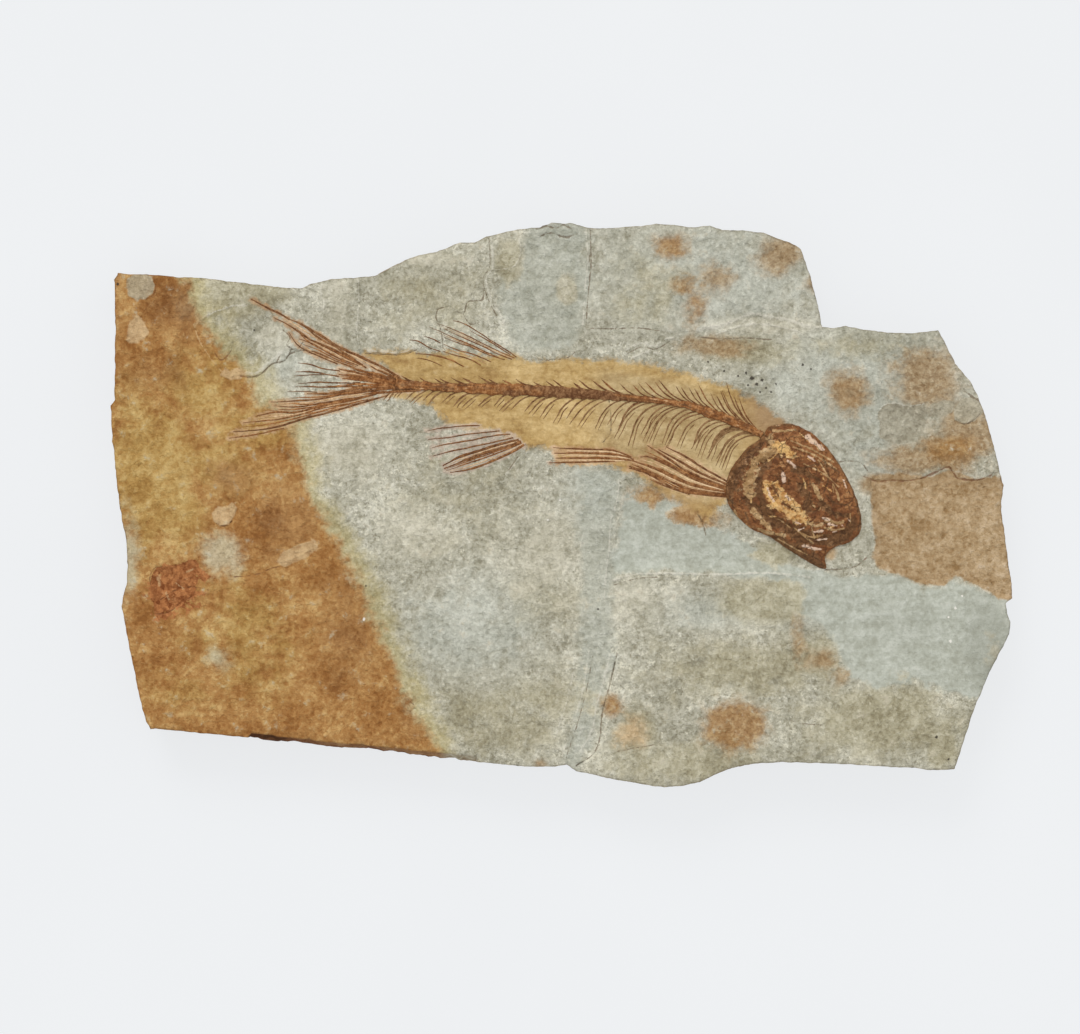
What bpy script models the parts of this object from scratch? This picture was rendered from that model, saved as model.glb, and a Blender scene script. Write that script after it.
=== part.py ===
"""Fossil fish slab: a broken slab of layered stone with a whole fish lying on it.

The slab rests flat on its back. +Z is up, +X runs along the fish from tail to head, +Y from its
belly to its back, and the origin is the middle of the base. Lengths are in millimetres and become
metres where a mesh is made. The stone is one solid, with its beds, scars and cracks cut into its
top. The bones lie on it as groups that don't touch each other: skull, backbone with its ribs and
spines, and one group of rays for each fin.
"""

import math

import bmesh
import bpy
from mathutils import Vector

MM = 0.001

# Driving dimensions: heights above the base
TOP_BED = 9.5
SHELF_BED = 9.25
FISH_BED = 9.0
BODY_BED = 8.7
SMOOTH_BED = 8.7
PUTTY_BED = 8.55
BROWN_BED = 8.4
SCAR_BEDS = {
    "flake": 8.6, "leaf": 8.65, "rusty": 8.62, "grey": 8.75, "edge": 8.72, "chip": 8.55, "round": 8.7,
}
CUTTER_TOP = 12.0

# Driving dimensions: the cracks, and the height of each one's bottom above the base
CRACK_WIDTH = 0.5
CRACK_DEPTH = 0.6
CRACK_FLOORS = {"right": 8.27, "seam": 8.33, "body": 8.31, "flake": 8.17}

# Driving dimensions: the bones. They lie this far above their bed.
BONE_GAP = 0.1
# Half width of a bone's flat crest, as a share of the half width at its foot
CREST_SHARE = 0.45
SKULL_HEIGHT = 2.2
SKULL_RIM_HEIGHT = 0.35
SKULL_LEAST_HEIGHT = 0.15
# How late the dome starts to fall towards its rim, how steeply, and how late its relief fades
DOME_REACH_POWER = 2.4
DOME_FALL_POWER = 0.6
RELIEF_FADE_POWER = 6

BACKBONE_HEIGHT = 0.75
# Half width of the backbone at even steps from the tail to the skull
BACKBONE_HALF_WIDTHS = (0.75, 0.95, 1.05, 1.05, 0.8, 0.6, 0.62, 0.85, 0.8, 0.6, 0.5)
VERTEBRAE = 46
WAIST_WIDTH_SHARE = 0.8
WAIST_HEIGHT_SHARE = 0.86

# Ribs and neural spines. The pairs run from the tail to the head: where on the backbone the first
# and last stand, their lengths, and the way they point, in degrees from +X.
SPINE_HEIGHT = 0.4
SPINE_HALF_WIDTH = 0.17
SPINE_LIFT = 0.03
TAPER_STATIONS = (0.0, 0.5, 1.0)
TAPER_WIDTHS = (1.0, 0.85, 0.35)
TAPER_HEIGHTS = (1.0, 0.85, 0.4)
RIBS = 32
RIB_STRETCH = (0.12, 0.95)
RIB_LENGTHS = (3.2, 7.6)
RIB_DIRECTIONS = (212, 236)
RIB_GROWTH = 1.35
RIB_BOW = -0.13
NEURAL_SPINES = 38
NEURAL_STRETCH = (0.05, 0.95)
# A neural spine is longest half way along the fish
NEURAL_LENGTHS = (3.9, 4.9)
NEURAL_DIRECTIONS = (160, 120)
NEURAL_TURN_POWER = 1.6
NEURAL_BOW = 0.04

# Fin rays. The pairs are shares of the full size, at the base and at the tip.
RAY_HEIGHT = 0.5
RAY_HEIGHT_SHARES = (1.0, 0.55)
RAY_HALF_WIDTH = 0.2
RAY_WIDTH_SHARES = (1.1, 0.6)
RAY_ROOM_SHARE = 0.3
WEB_HEIGHT = 0.22
WEB_HEIGHT_SHARES = (1.0, 0.65)
RAY_STATIONS = (0.0, 0.22, 0.48, 0.74, 0.92, 1.0)
WEB_REACH = 0.93

# Edges sharper than this, in degrees, stay sharp where a piece is shaded smooth
SHARP_ANGLE = 35

# The broken edge of the slab, clockwise from its upper left corner
OUTLINE = [
    (-74.5, 37.5), (-73.7, 38.7), (-70.0, 38.5), (-66.0, 38.2), (-62.0, 37.9), (-58.1, 37.7),
    (-54.1, 37.2), (-50.1, 36.7), (-46.1, 36.2), (-43.1, 36.2), (-41.4, 36.9), (-38.1, 37.7),
    (-34.1, 37.9), (-31.1, 38.2), (-28.2, 39.7), (-25.2, 41.2), (-21.8, 42.0), (-19.2, 42.7),
    (-16.9, 43.7), (-14.5, 43.7), (-12.9, 44.5), (-10.2, 45.2), (-6.9, 46.0), (-3.6, 46.3),
    (-1.7, 47.0), (1.7, 47.0), (4.4, 46.2), (7.4, 46.0), (13.7, 46.5), (15.7, 46.8),
    (19.7, 46.5), (22.0, 46.2), (24.7, 46.5), (26.7, 45.8), (30.5, 45.7), (33.6, 45.3),
    (35.5, 44.5), (38.0, 43.7), (39.8, 42.5), (40.6, 40.4), (41.4, 37.9), (42.4, 34.4),
    (42.9, 32.1), (43.3, 29.7), (45.3, 29.6), (47.3, 29.9), (50.2, 29.2), (53.6, 28.9),
    (57.6, 28.7), (62.7, 29.1), (63.7, 27.2), (65.5, 23.6), (67.9, 20.8), (69.2, 18.4),
    (70.2, 15.8), (71.0, 13.1), (72.2, 8.8), (73.0, 5.3), (73.7, 3.3), (73.3, 0.8),
    (73.4, -1.8), (73.9, -5.5), (74.4, -9.5), (75.0, -13.1), (75.0, -15.6), (73.9, -16.3),
    (74.1, -17.9), (74.6, -19.4), (74.3, -21.4), (73.4, -23.4), (71.4, -27.4), (69.6, -31.4),
    (68.0, -35.4), (66.8, -39.5), (65.3, -44.0), (61.2, -44.1), (55.6, -43.6), (49.6, -43.3),
    (43.6, -43.0), (35.6, -42.8), (31.6, -43.1), (27.7, -44.0), (25.3, -45.0), (23.0, -46.1),
    (20.3, -46.8), (17.0, -47.0), (13.0, -46.4), (8.4, -45.6), (4.7, -44.8), (2.4, -44.3),
    (0.9, -43.3), (-1.6, -43.6), (-6.2, -43.6), (-11.9, -43.0), (-18.2, -42.5), (-26.2, -41.6),
    (-34.1, -40.8), (-42.1, -40.0), (-52.1, -38.8), (-60.0, -38.0), (-64.0, -37.6), (-68.4, -37.3),
    (-69.2, -36.0), (-70.3, -31.4), (-71.2, -27.4), (-72.2, -22.4), (-73.2, -16.8), (-73.0, -15.3),
    (-72.3, -12.8), (-72.2, -10.0), (-72.5, -5.8), (-73.5, -0.2), (-74.0, 4.2), (-74.7, 10.5),
    (-75.0, 16.6), (-74.3, 17.4), (-74.3, 22.4), (-74.3, 27.4), (-74.3, 32.4), (-74.2, 35.4),
]

# The broken side: heights of its rings, and how far each lies inside the outline
SIDE_HEIGHTS = (0.0, 1.3, 3.0, 4.6, 6.4, 8.2, TOP_BED)
SIDE_INSETS = (1.5, 0.5, 0.8, 0.35, 0.6, 0.15, 0.0)
SIDE_CHIPS = (0.5, 0.4, 0.6, 0.4, 0.5, 0.15, 0.0)
# Turns per outline point and per ring of the two waves that make the side uneven
CHIP_WAVES = ((1.93, 2.71), (0.57, -1.37))
# Along this stretch of the lower left edge a lower bed stands out past the top one
LIP_START_X = -52.0
LIP_END_X = -14.0
LIP_BELOW_Y = -38.0
LIP_INSET = 0.9

# A rim of the top bed left standing around the snout and the lower jaw
SNOUT_RIM = [
    (50.6, -9.4), (51.0, -7.5), (51.2, -3.5), (51.0, 0.0), (50.2, 2.6), (49.0, 3.4), (49.0, 2.4),
    (49.9, 0.0), (50.4, -2.8), (50.0, -5.2), (48.0, -7.0), (45.9, -7.7), (44.6, -9.0), (44.6, -10.6),
]

# Regions where upper beds are gone, each cut down to its bed. They run past the outline freely.
MAIN_REGION = [
    (-78.3, 50.7), (4.1, 50.7), (4.2, 44.0), (3.9, 35.7), (3.6, 31.1), (4.4, 26.9), (13.0, 27.7),
    (19.7, 27.4), (29.7, 27.2), (36.3, 27.4), (40.3, 27.9), (43.3, 28.9), (46.3, 34.1),
    (79.5, 34.1), (79.5, -16.3), (71.7, -16.1), (70.8, -14.6), (67.9, -13.5), (65.4, -12.1),
    (63.7, -13.8), (59.2, -13.8), (56.2, -12.1), (51.2, -11.1), *SNOUT_RIM, (44.2, -11.4),
    (39.6, -11.0), (29.7, -11.0), (23.0, -11.3), (16.4, -11.0), (10.5, -11.5), (7.7, -12.3), (8.4, -15.8),
    (8.7, -22.4), (8.4, -27.7), (6.9, -30.7), (6.4, -34.9), (5.4, -39.0), (4.4, -41.9),
    (2.1, -44.5), (1.4, -50.7), (-78.3, -50.7),
]
SHELF_REGION = [
    (3.1, 29.2), (9.7, 28.9), (16.4, 28.7), (23.0, 29.2), (28.0, 30.4), (31.0, 31.7),
    (34.6, 31.1), (39.6, 31.7), (42.6, 30.7), (46.3, 29.4), (46.3, 25.7), (3.1, 25.7),
]
BROWN_REGION = [
    (51.6, 4.7), (56.2, 5.3), (61.2, 4.5), (64.5, 5.8), (66.5, 5.1), (68.7, 4.2), (71.2, 4.5),
    (79.5, 5.3), (79.5, -15.4), (72.5, -15.4), (71.2, -13.8), (67.9, -12.5), (65.4, -11.3),
    (63.5, -13.0), (59.6, -13.0), (56.6, -11.3), (52.9, -10.3), (51.7, -8.8), (52.4, -5.8),
    (51.7, -2.5), (51.6, 0.8),
]
PUTTY_REGION = [
    (10.4, 0.8), (12.0, 2.7), (14.4, 2.7), (17.7, 1.8), (21.3, 0.2), (23.8, -2.5), (26.3, -4.2),
    (30.5, -5.3), (34.3, -7.6), (38.0, -9.4), (37.2, -10.3), (29.7, -10.1), (23.0, -10.5),
    (16.4, -10.1), (11.0, -10.6), (8.7, -11.1), (8.6, -6.6), (9.6, -3.3),
]
SMOOTH_REGION = [
    (-10.2, 37.9), (-6.9, 38.9), (-6.2, 43.5), (-3.6, 45.2), (0.1, 45.3), (3.1, 43.7),
    (3.4, 35.7), (2.9, 27.7), (1.9, 26.1), (-0.9, 25.6), (-4.9, 25.4), (-6.9, 25.7),
    (-8.9, 27.7), (-10.5, 31.1), (-10.2, 34.1), (-11.2, 35.7),
]
BODY_REGION = [
    (-27.6, 21.6), (-20.0, 22.3), (-13.0, 22.9), (-7.6, 24.1), (2.2, 24.6), (13.0, 23.8),
    (19.7, 22.3), (24.0, 21.1), (28.3, 19.4), (32.3, 17.6), (34.9, 14.6), (34.0, 12.9),
    (32.6, 11.1), (30.4, 9.2), (28.2, 6.5), (27.2, 5.1), (23.0, 7.7), (19.0, 9.2), (14.3, 10.9),
    (10.6, 10.0), (6.4, 10.3), (-0.9, 10.8), (-6.9, 11.0), (-10.0, 12.9), (-15.5, 14.2),
    (-19.2, 14.8), (-21.8, 16.1), (-27.6, 18.0),
]
FLAKE_SCAR = [
    (-61.4, 29.1), (-60.4, 30.4), (-57.7, 31.2), (-54.7, 32.9), (-52.7, 33.9), (-49.8, 32.6),
    (-47.4, 30.7), (-45.4, 28.4), (-46.1, 26.7), (-44.1, 25.2), (-47.4, 23.6), (-49.1, 22.3),
    (-51.2, 21.3), (-53.1, 21.6), (-55.1, 20.8), (-56.1, 21.4), (-57.9, 22.9), (-59.6, 25.2),
]
LEAF_SCAR = [(-72.2, 26.7), (-71.7, 29.7), (-70.0, 31.4), (-68.7, 29.6), (-69.5, 27.2)]
RUSTY_SCAR = [
    (-68.0, -12.5), (-66.7, -10.5), (-63.7, -10.8), (-60.7, -9.5), (-59.2, -10.3),
    (-60.0, -13.3), (-61.4, -15.0), (-59.9, -16.3), (-63.4, -17.8), (-66.7, -18.4), (-67.0, -15.8),
]
GREY_SCAR = [
    (53.2, 14.2), (54.9, 16.2), (58.2, 16.6), (60.9, 15.3), (61.5, 12.8), (59.2, 11.2), (55.2, 10.9),
]
EDGE_SCAR = [(64.5, 16.5), (66.0, 18.2), (68.2, 18.0), (68.8, 16.4), (68.4, 14.7), (66.4, 14.4)]
CHIP_SCAR = [(-58.1, -2.2), (-57.1, -0.2), (-55.7, 0.8), (-53.7, 0.7), (-53.4, -1.3), (-55.0, -3.4)]
ROUND_SCAR_CENTRE = (-70.0, 36.2)
ROUND_SCAR_RADIUS = 2.2
ROUND_SCAR_SIDES = 20

# Cracks, as lines along the top
RIGHT_CRACK = [
    (49.4, 5.6), (53.6, 5.3), (55.8, 5.8), (58.1, 5.4), (61.3, 4.9), (63.9, 6.0), (66.2, 5.6),
    (68.5, 4.8), (71.0, 5.0), (76.0, 5.9),
]
SEAM_CRACK = [
    (10.2, 4.4), (10.5, 0.8), (9.6, -2.2), (9.7, -4.5), (8.6, -7.1), (7.9, -11.6), (8.6, -17.4),
    (8.9, -22.4), (8.6, -27.1), (6.9, -30.7), (6.6, -34.4), (5.6, -38.7), (4.4, -41.5), (0.6, -45.5),
]
BODY_CRACK = [(3.7, 25.4), (5.4, 22.1), (7.6, 18.8), (7.9, 15.0), (7.9, 11.3), (6.0, 9.4)]
FLAKE_CRACK = [(-56.4, 20.9), (-53.4, 21.4), (-51.1, 21.1), (-48.4, 22.6), (-45.1, 24.4), (-41.4, 25.7)]

# The fish. The backbone's line runs from the tail to the skull.
BACKBONE_LINE = [
    (-26.8, 20.0), (-21.8, 19.9), (-15.2, 19.6), (-8.6, 19.3), (-1.9, 18.9), (4.7, 18.4),
    (11.4, 17.9), (17.2, 17.4), (21.3, 16.8), (25.0, 15.4), (28.8, 14.0), (31.4, 12.9), (33.2, 11.9),
]
SKULL_CENTRE = (38.2, 2.6)
SKULL_OUTLINE = [
    (34.3, 13.0), (37.8, 13.5), (40.6, 12.5), (42.9, 10.8), (45.1, 8.3), (46.9, 5.5), (48.3, 2.8),
    (49.3, 0.0), (49.8, -2.7), (49.4, -4.8), (47.6, -6.3), (45.4, -7.0), (43.8, -8.5),
    (43.9, -10.6), (41.6, -9.8), (38.0, -7.6), (34.6, -5.3), (32.0, -4.2), (30.0, -2.7),
    (28.2, -0.7), (27.3, 1.8), (27.5, 4.2), (28.4, 6.3), (30.6, 9.2), (33.0, 11.0),
]
# Ridges (up) and grooves (down) of the skull: line, height, half width
SKULL_RELIEF = [
    ([(33.0, 11.5), (29.9, 8.3), (28.2, 4.5), (28.3, 1.5)], 0.35, 0.9),
    ([(34.6, 9.5), (32.5, 7.1), (31.1, 4.5), (31.1, 1.5)], -0.6, 0.9),
    ([(35.2, 6.6), (35.2, 5.0)], -0.5, 1.8),
    ([(33.8, 3.7), (36.3, 0.3), (39.6, -2.2)], 0.4, 1.0),
    ([(30.5, 0.0), (34.6, -3.4), (39.6, -5.6), (44.0, -7.2)], -0.5, 0.6),
    ([(40.2, 5.6), (41.4, 5.9), (42.4, 4.8), (42.2, 3.2), (40.8, 2.6)], 0.3, 0.5),
    ([(41.2, 4.3), (41.3, 4.0)], -0.4, 0.9),
    ([(35.4, 12.2), (40.0, 11.3), (44.0, 7.6), (47.4, 1.8)], 0.2, 0.7),
]
SKULL_SEGMENTS = 56
SKULL_RINGS = (1.0, 0.96, 0.9, 0.8, 0.68, 0.55, 0.42, 0.28, 0.14)

# Each fin: the line of its ray bases, and the line of its ray tips in the same order
TAIL_BASE = [(-27.2, 21.0), (-27.3, 20.0), (-27.4, 19.0)]
TAIL_TIPS = [
    (-51.6, 34.2), (-47.9, 31.2), (-45.6, 29.1), (-44.9, 26.6), (-43.9, 24.4), (-43.6, 22.1),
    (-44.1, 20.1), (-45.4, 18.6), (-48.4, 16.8), (-50.9, 14.8), (-54.2, 13.1), (-54.9, 11.3),
]
DORSAL_BASE = [(-7.6, 24.6), (-9.9, 24.0), (-11.9, 23.6), (-13.4, 23.3), (-16.2, 22.9), (-20.0, 23.0)]
DORSAL_TIPS = [
    (-17.2, 30.3), (-20.0, 30.2), (-22.0, 29.5), (-23.2, 28.2), (-24.8, 27.3), (-24.8, 25.9),
    (-24.0, 24.5),
]
ANAL_BASE = [(-14.1, 13.1), (-11.6, 12.4), (-9.4, 11.9), (-8.2, 11.2), (-7.4, 10.5), (-6.9, 9.8)]
ANAL_TIPS = [(-22.3, 12.2), (-21.8, 10.9), (-21.5, 9.4), (-21.0, 8.0), (-19.8, 6.5), (-18.6, 5.3)]
PELVIC_BASE = [(10.6, 8.3), (11.0, 7.7), (10.8, 7.1)]
PELVIC_TIPS = [(-1.4, 9.6), (-1.2, 8.7), (-1.0, 7.8), (-2.1, 6.9)]
PECTORAL_BASE = [(26.6, 3.9), (26.5, 3.0), (26.2, 2.2)]
PECTORAL_TIPS = [
    (14.5, 10.2), (13.6, 8.9), (12.6, 7.9), (11.9, 7.1), (11.8, 6.1), (13.0, 5.2), (15.3, 4.3),
]
# Name, bases, tips, number of rays, and how far a ray bows as a share of its length
FINS = [
    ("tail_fin", TAIL_BASE, TAIL_TIPS, 15, -0.01),
    ("dorsal_fin", DORSAL_BASE, DORSAL_TIPS, 9, -0.05),
    ("anal_fin", ANAL_BASE, ANAL_TIPS, 7, 0.03),
    ("pelvic_fin", PELVIC_BASE, PELVIC_TIPS, 4, 0.01),
    ("pectoral_fin", PECTORAL_BASE, PECTORAL_TIPS, 7, -0.05),
]


def clear_scene():
    for thing in list(bpy.data.objects):
        bpy.data.objects.remove(thing, do_unlink=True)


def material(name, colour, roughness):
    """A plain Principled material for one piece."""
    made = bpy.data.materials.new(name)
    made.use_nodes = True
    shader = made.node_tree.nodes["Principled BSDF"]
    shader.inputs["Base Color"].default_value = (*colour, 1.0)
    shader.inputs["Roughness"].default_value = roughness
    shader.inputs["Metallic"].default_value = 0.0
    return made


def solid(name, corners, faces, finish=None):
    """A mesh object from corners in millimetres, with its faces turned outwards."""
    mesh = bpy.data.meshes.new(name)
    mesh.from_pydata([[value * MM for value in corner] for corner in corners], [], faces)
    shape = bmesh.new()
    shape.from_mesh(mesh)
    bmesh.ops.recalc_face_normals(shape, faces=shape.faces)
    shape.to_mesh(mesh)
    shape.free()
    if finish:
        mesh.materials.append(finish)
    made = bpy.data.objects.new(name, mesh)
    bpy.context.scene.collection.objects.link(made)
    return made


def shade_round(thing):
    """Shades a rounded piece smooth, except across its sharp edges."""
    thing.data.shade_smooth()
    thing.data.set_sharp_from_angle(angle=math.radians(SHARP_ANGLE))


def loft(rings):
    """Corners and faces of a closed solid through rings of equal length, capped at both ends."""
    count = len(rings[0])
    corners = [corner for ring in rings for corner in ring]
    faces = [tuple(range(count)), tuple(range(len(corners) - count, len(corners)))]
    for level in range(len(rings) - 1):
        for i in range(count):
            j = (i + 1) % count
            low = level * count
            high = low + count
            faces.append((low + i, low + j, high + j, high + i))
    return corners, faces


def smooth_point(points, share):
    """The point a share (0 to 1) of the way along a Catmull-Rom curve through the points."""
    spans = len(points) - 1
    place = min(max(share, 0.0), 1.0) * spans
    i = min(int(place), spans - 1)
    t = place - i
    before, start, end, after = (Vector(points[min(max(k, 0), spans)]) for k in range(i - 1, i + 3))
    return 0.5 * (
        2 * start
        + (end - before) * t
        + (2 * before - 5 * start + 4 * end - after) * t**2
        + (3 * start - before - 3 * end + after) * t**3
    )


def between(values, share):
    """The value a share of the way along evenly spaced values."""
    place = min(max(share, 0.0), 1.0) * (len(values) - 1)
    i = min(int(place), len(values) - 2)
    return values[i] + (values[i + 1] - values[i]) * (place - i)


def sweep(path, sections):
    """Corners and faces of a bar along a flat path; sections give (across, height) at each point."""
    rings = []
    for i, (point, section) in enumerate(zip(path, sections)):
        ahead = Vector(path[min(i + 1, len(path) - 1)])
        behind = Vector(path[max(i - 1, 0)])
        along = (ahead - behind).normalized()
        across = Vector((-along.y, along.x))
        ring = [Vector(point) + across * offset for offset, _ in section]
        rings.append([(spot.x, spot.y, height) for spot, (_, height) in zip(ring, section)])
    return loft(rings)


def inward(points, i):
    """The direction into a clockwise outline at its point i."""
    before = Vector(points[i - 1])
    after = Vector(points[(i + 1) % len(points)])
    along = (after - before).normalized()
    return Vector((along.y, -along.x))


def chipping(i, level):
    """A fixed uneven value from -1 to 1 for each point of each ring of the side."""
    first, second = (along * i + up * level for along, up in CHIP_WAVES)
    return math.sin(first) * math.cos(second)


def side_inset(i, level):
    """How far the side lies inside the outline at point i of a ring."""
    x, y = OUTLINE[i]
    on_lip = LIP_START_X < x < LIP_END_X and y < LIP_BELOW_Y
    if on_lip and level == len(SIDE_HEIGHTS) - 1:
        return LIP_INSET
    if on_lip and level == len(SIDE_HEIGHTS) - 2:
        return 0.0
    return SIDE_INSETS[level] + SIDE_CHIPS[level] * chipping(i, level)


def prism(name, outline, low, high):
    return solid(name, *loft([[(x, y, z) for x, y in outline] for z in (low, high)]))


def groove(name, path, floor):
    """A V-shaped cutter along a crack."""
    wide = CRACK_WIDTH / 2
    lip = floor + CRACK_DEPTH
    section = ((0.0, floor), (wide, lip), (wide, CUTTER_TOP), (-wide, CUTTER_TOP), (-wide, lip))
    return solid(name, *sweep(path, [section] * len(path)))


def combine(body, guide, operation):
    """Cuts the guide out of the body, or joins it on, and keeps the guide out of sight."""
    step = body.modifiers.new(f"{operation.lower()} {guide.name}", "BOOLEAN")
    step.operation = operation
    step.solver = "EXACT"
    step.use_self = operation == "UNION"
    step.object = guide
    guide.hide_render = True
    guide.display_type = "WIRE"


def round_outline(centre, radius):
    x, y = centre
    turns = [2 * math.pi * i / ROUND_SCAR_SIDES for i in range(ROUND_SCAR_SIDES)]
    return [(x + radius * math.cos(turn), y + radius * math.sin(turn)) for turn in turns]


def make_slab(finish):
    rings = []
    for level, height in enumerate(SIDE_HEIGHTS):
        ring = []
        for i, point in enumerate(OUTLINE):
            spot = Vector(point) + inward(OUTLINE, i) * side_inset(i, level)
            ring.append((spot.x, spot.y, height))
        rings.append(ring)
    slab = solid("stone_slab", *loft(rings), finish)
    beds = [
        ("main", MAIN_REGION, FISH_BED),
        ("shelf", SHELF_REGION, SHELF_BED),
        ("brown", BROWN_REGION, BROWN_BED),
        ("putty", PUTTY_REGION, PUTTY_BED),
        ("smooth", SMOOTH_REGION, SMOOTH_BED),
        ("body", BODY_REGION, BODY_BED),
        ("flake_scar", FLAKE_SCAR, SCAR_BEDS["flake"]),
        ("leaf_scar", LEAF_SCAR, SCAR_BEDS["leaf"]),
        ("rusty_scar", RUSTY_SCAR, SCAR_BEDS["rusty"]),
        ("grey_scar", GREY_SCAR, SCAR_BEDS["grey"]),
        ("edge_scar", EDGE_SCAR, SCAR_BEDS["edge"]),
        ("chip_scar", CHIP_SCAR, SCAR_BEDS["chip"]),
        ("round_scar", round_outline(ROUND_SCAR_CENTRE, ROUND_SCAR_RADIUS), SCAR_BEDS["round"]),
    ]
    for name, region, floor in beds:
        combine(slab, prism(f"bed_{name}", region, floor, CUTTER_TOP), "DIFFERENCE")
    cracks = [("right", RIGHT_CRACK), ("seam", SEAM_CRACK), ("body", BODY_CRACK), ("flake", FLAKE_CRACK)]
    for name, path in cracks:
        combine(slab, groove(f"crack_{name}", path, CRACK_FLOORS[name]), "DIFFERENCE")


def distance_to_line(point, line):
    """The shortest distance from a flat point to a line of points."""
    shortest = math.inf
    for a, b in zip(line, line[1:]):
        start, span = Vector(a), Vector(b) - Vector(a)
        share = min(max((point - start).dot(span) / span.length_squared, 0.0), 1.0)
        shortest = min(shortest, (point - start - span * share).length)
    return shortest


def skull_height(point, reach):
    """Height of the skull above its bed; reach is 0 at its centre and 1 at its edge."""
    rise = (1.0 - reach**DOME_REACH_POWER) ** DOME_FALL_POWER
    dome = SKULL_RIM_HEIGHT + (SKULL_HEIGHT - SKULL_RIM_HEIGHT) * rise
    relief = sum(
        height * math.exp(-((distance_to_line(point, line) / width) ** 2))
        for line, height, width in SKULL_RELIEF
    )
    return max(dome + relief * (1.0 - reach**RELIEF_FADE_POWER), SKULL_LEAST_HEIGHT)


def make_skull(finish):
    centre = Vector(SKULL_CENTRE)
    floor = BODY_BED + BONE_GAP
    # The skull stands partly on the body's sunken bed and partly on the higher bed around it
    seat = FISH_BED + BONE_GAP
    closed = SKULL_OUTLINE + SKULL_OUTLINE[:1]
    edge = [smooth_point(closed, i / SKULL_SEGMENTS) for i in range(SKULL_SEGMENTS)]
    rings = [[(spot.x, spot.y, seat) for spot in edge]]
    for reach in SKULL_RINGS:
        spots = [centre + (spot - centre) * reach for spot in edge]
        rings.append([(spot.x, spot.y, floor + skull_height(spot, reach)) for spot in spots])
    shade_round(solid("skull", *loft(rings), finish))


def ridge_section(half_width, low, high):
    """The section of a bone: a foot on the bed, and a narrower flat crest above it."""
    crest = half_width * CREST_SHARE
    return ((-half_width, low), (-crest, high), (crest, high), (half_width, low))


def bar(path, half_widths, low, highs):
    return sweep(path, [ridge_section(w, low, h) for w, h in zip(half_widths, highs)])


def curved_path(start, end, bow, stations):
    """Points from start to end along an arc that bows to the left by a share of its length."""
    span = end - start
    middle = (start + end) / 2 + Vector((-span.y, span.x)) * bow * 2
    return [start * (1 - t) ** 2 + middle * 2 * t * (1 - t) + end * t**2 for t in stations]


def joined(parts):
    """Several lists of corners and faces as one."""
    corners, faces = [], []
    for part_corners, part_faces in parts:
        faces += [tuple(i + len(corners) for i in face) for face in part_faces]
        corners += part_corners
    return corners, faces


def small_bone(share, length, direction, bow, low):
    """A tapering bar that starts on the backbone, with a direction in degrees from +X."""
    root = smooth_point(BACKBONE_LINE, share)
    turn = math.radians(direction)
    end = root + Vector((math.cos(turn), math.sin(turn))) * length
    path = curved_path(root, end, bow, TAPER_STATIONS)
    widths = [SPINE_HALF_WIDTH * part for part in TAPER_WIDTHS]
    highs = [low + SPINE_HEIGHT * part for part in TAPER_HEIGHTS]
    return bar(path, widths, low, highs)


def rib(share, low):
    """One rib, from the backbone down and back towards the tail."""
    towards_head = (share - RIB_STRETCH[0]) / (1.0 - RIB_STRETCH[0])
    grown = math.sin(min(towards_head * RIB_GROWTH, 1.0) * math.pi / 2)
    direction = between(RIB_DIRECTIONS, towards_head)
    return small_bone(share, between(RIB_LENGTHS, grown), direction, RIB_BOW, low)


def neural_spine(share, low):
    """One spine above the backbone, leaning back towards the tail."""
    length = between(NEURAL_LENGTHS, math.sin(share * math.pi))
    direction = between(NEURAL_DIRECTIONS, share**NEURAL_TURN_POWER)
    return small_bone(share, length, direction, NEURAL_BOW, low)


def make_backbone(finish):
    """The column of vertebrae, with ribs below and neural spines above joined to it."""
    low = BODY_BED + BONE_GAP
    path, sections = [], []
    for i in range(2 * VERTEBRAE + 1):
        share = i / (2 * VERTEBRAE)
        half_width = between(BACKBONE_HALF_WIDTHS, share)
        height = BACKBONE_HEIGHT
        if i % 2:
            half_width *= WAIST_WIDTH_SHARE
            height *= WAIST_HEIGHT_SHARE
        path.append(smooth_point(BACKBONE_LINE, share))
        sections.append(ridge_section(half_width, low, low + height))
    column = solid("backbone_and_ribs", *sweep(path, sections), finish)
    small_low = low + SPINE_LIFT
    ribs = [rib(between(RIB_STRETCH, i / (RIBS - 1)), small_low) for i in range(RIBS)]
    places = [between(NEURAL_STRETCH, i / (NEURAL_SPINES - 1)) for i in range(NEURAL_SPINES)]
    spines = [neural_spine(share, small_low) for share in places]
    branches = solid("rib_guide", *joined(ribs + spines))
    for thing in (column, branches):
        shade_round(thing)
    combine(column, branches, "UNION")


def width_around(line, u, rays):
    """How much of a line one ray has to itself; smooth_point stops at the line's ends."""
    return (smooth_point(line, u + 0.5 / rays) - smooth_point(line, u - 0.5 / rays)).length


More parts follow.
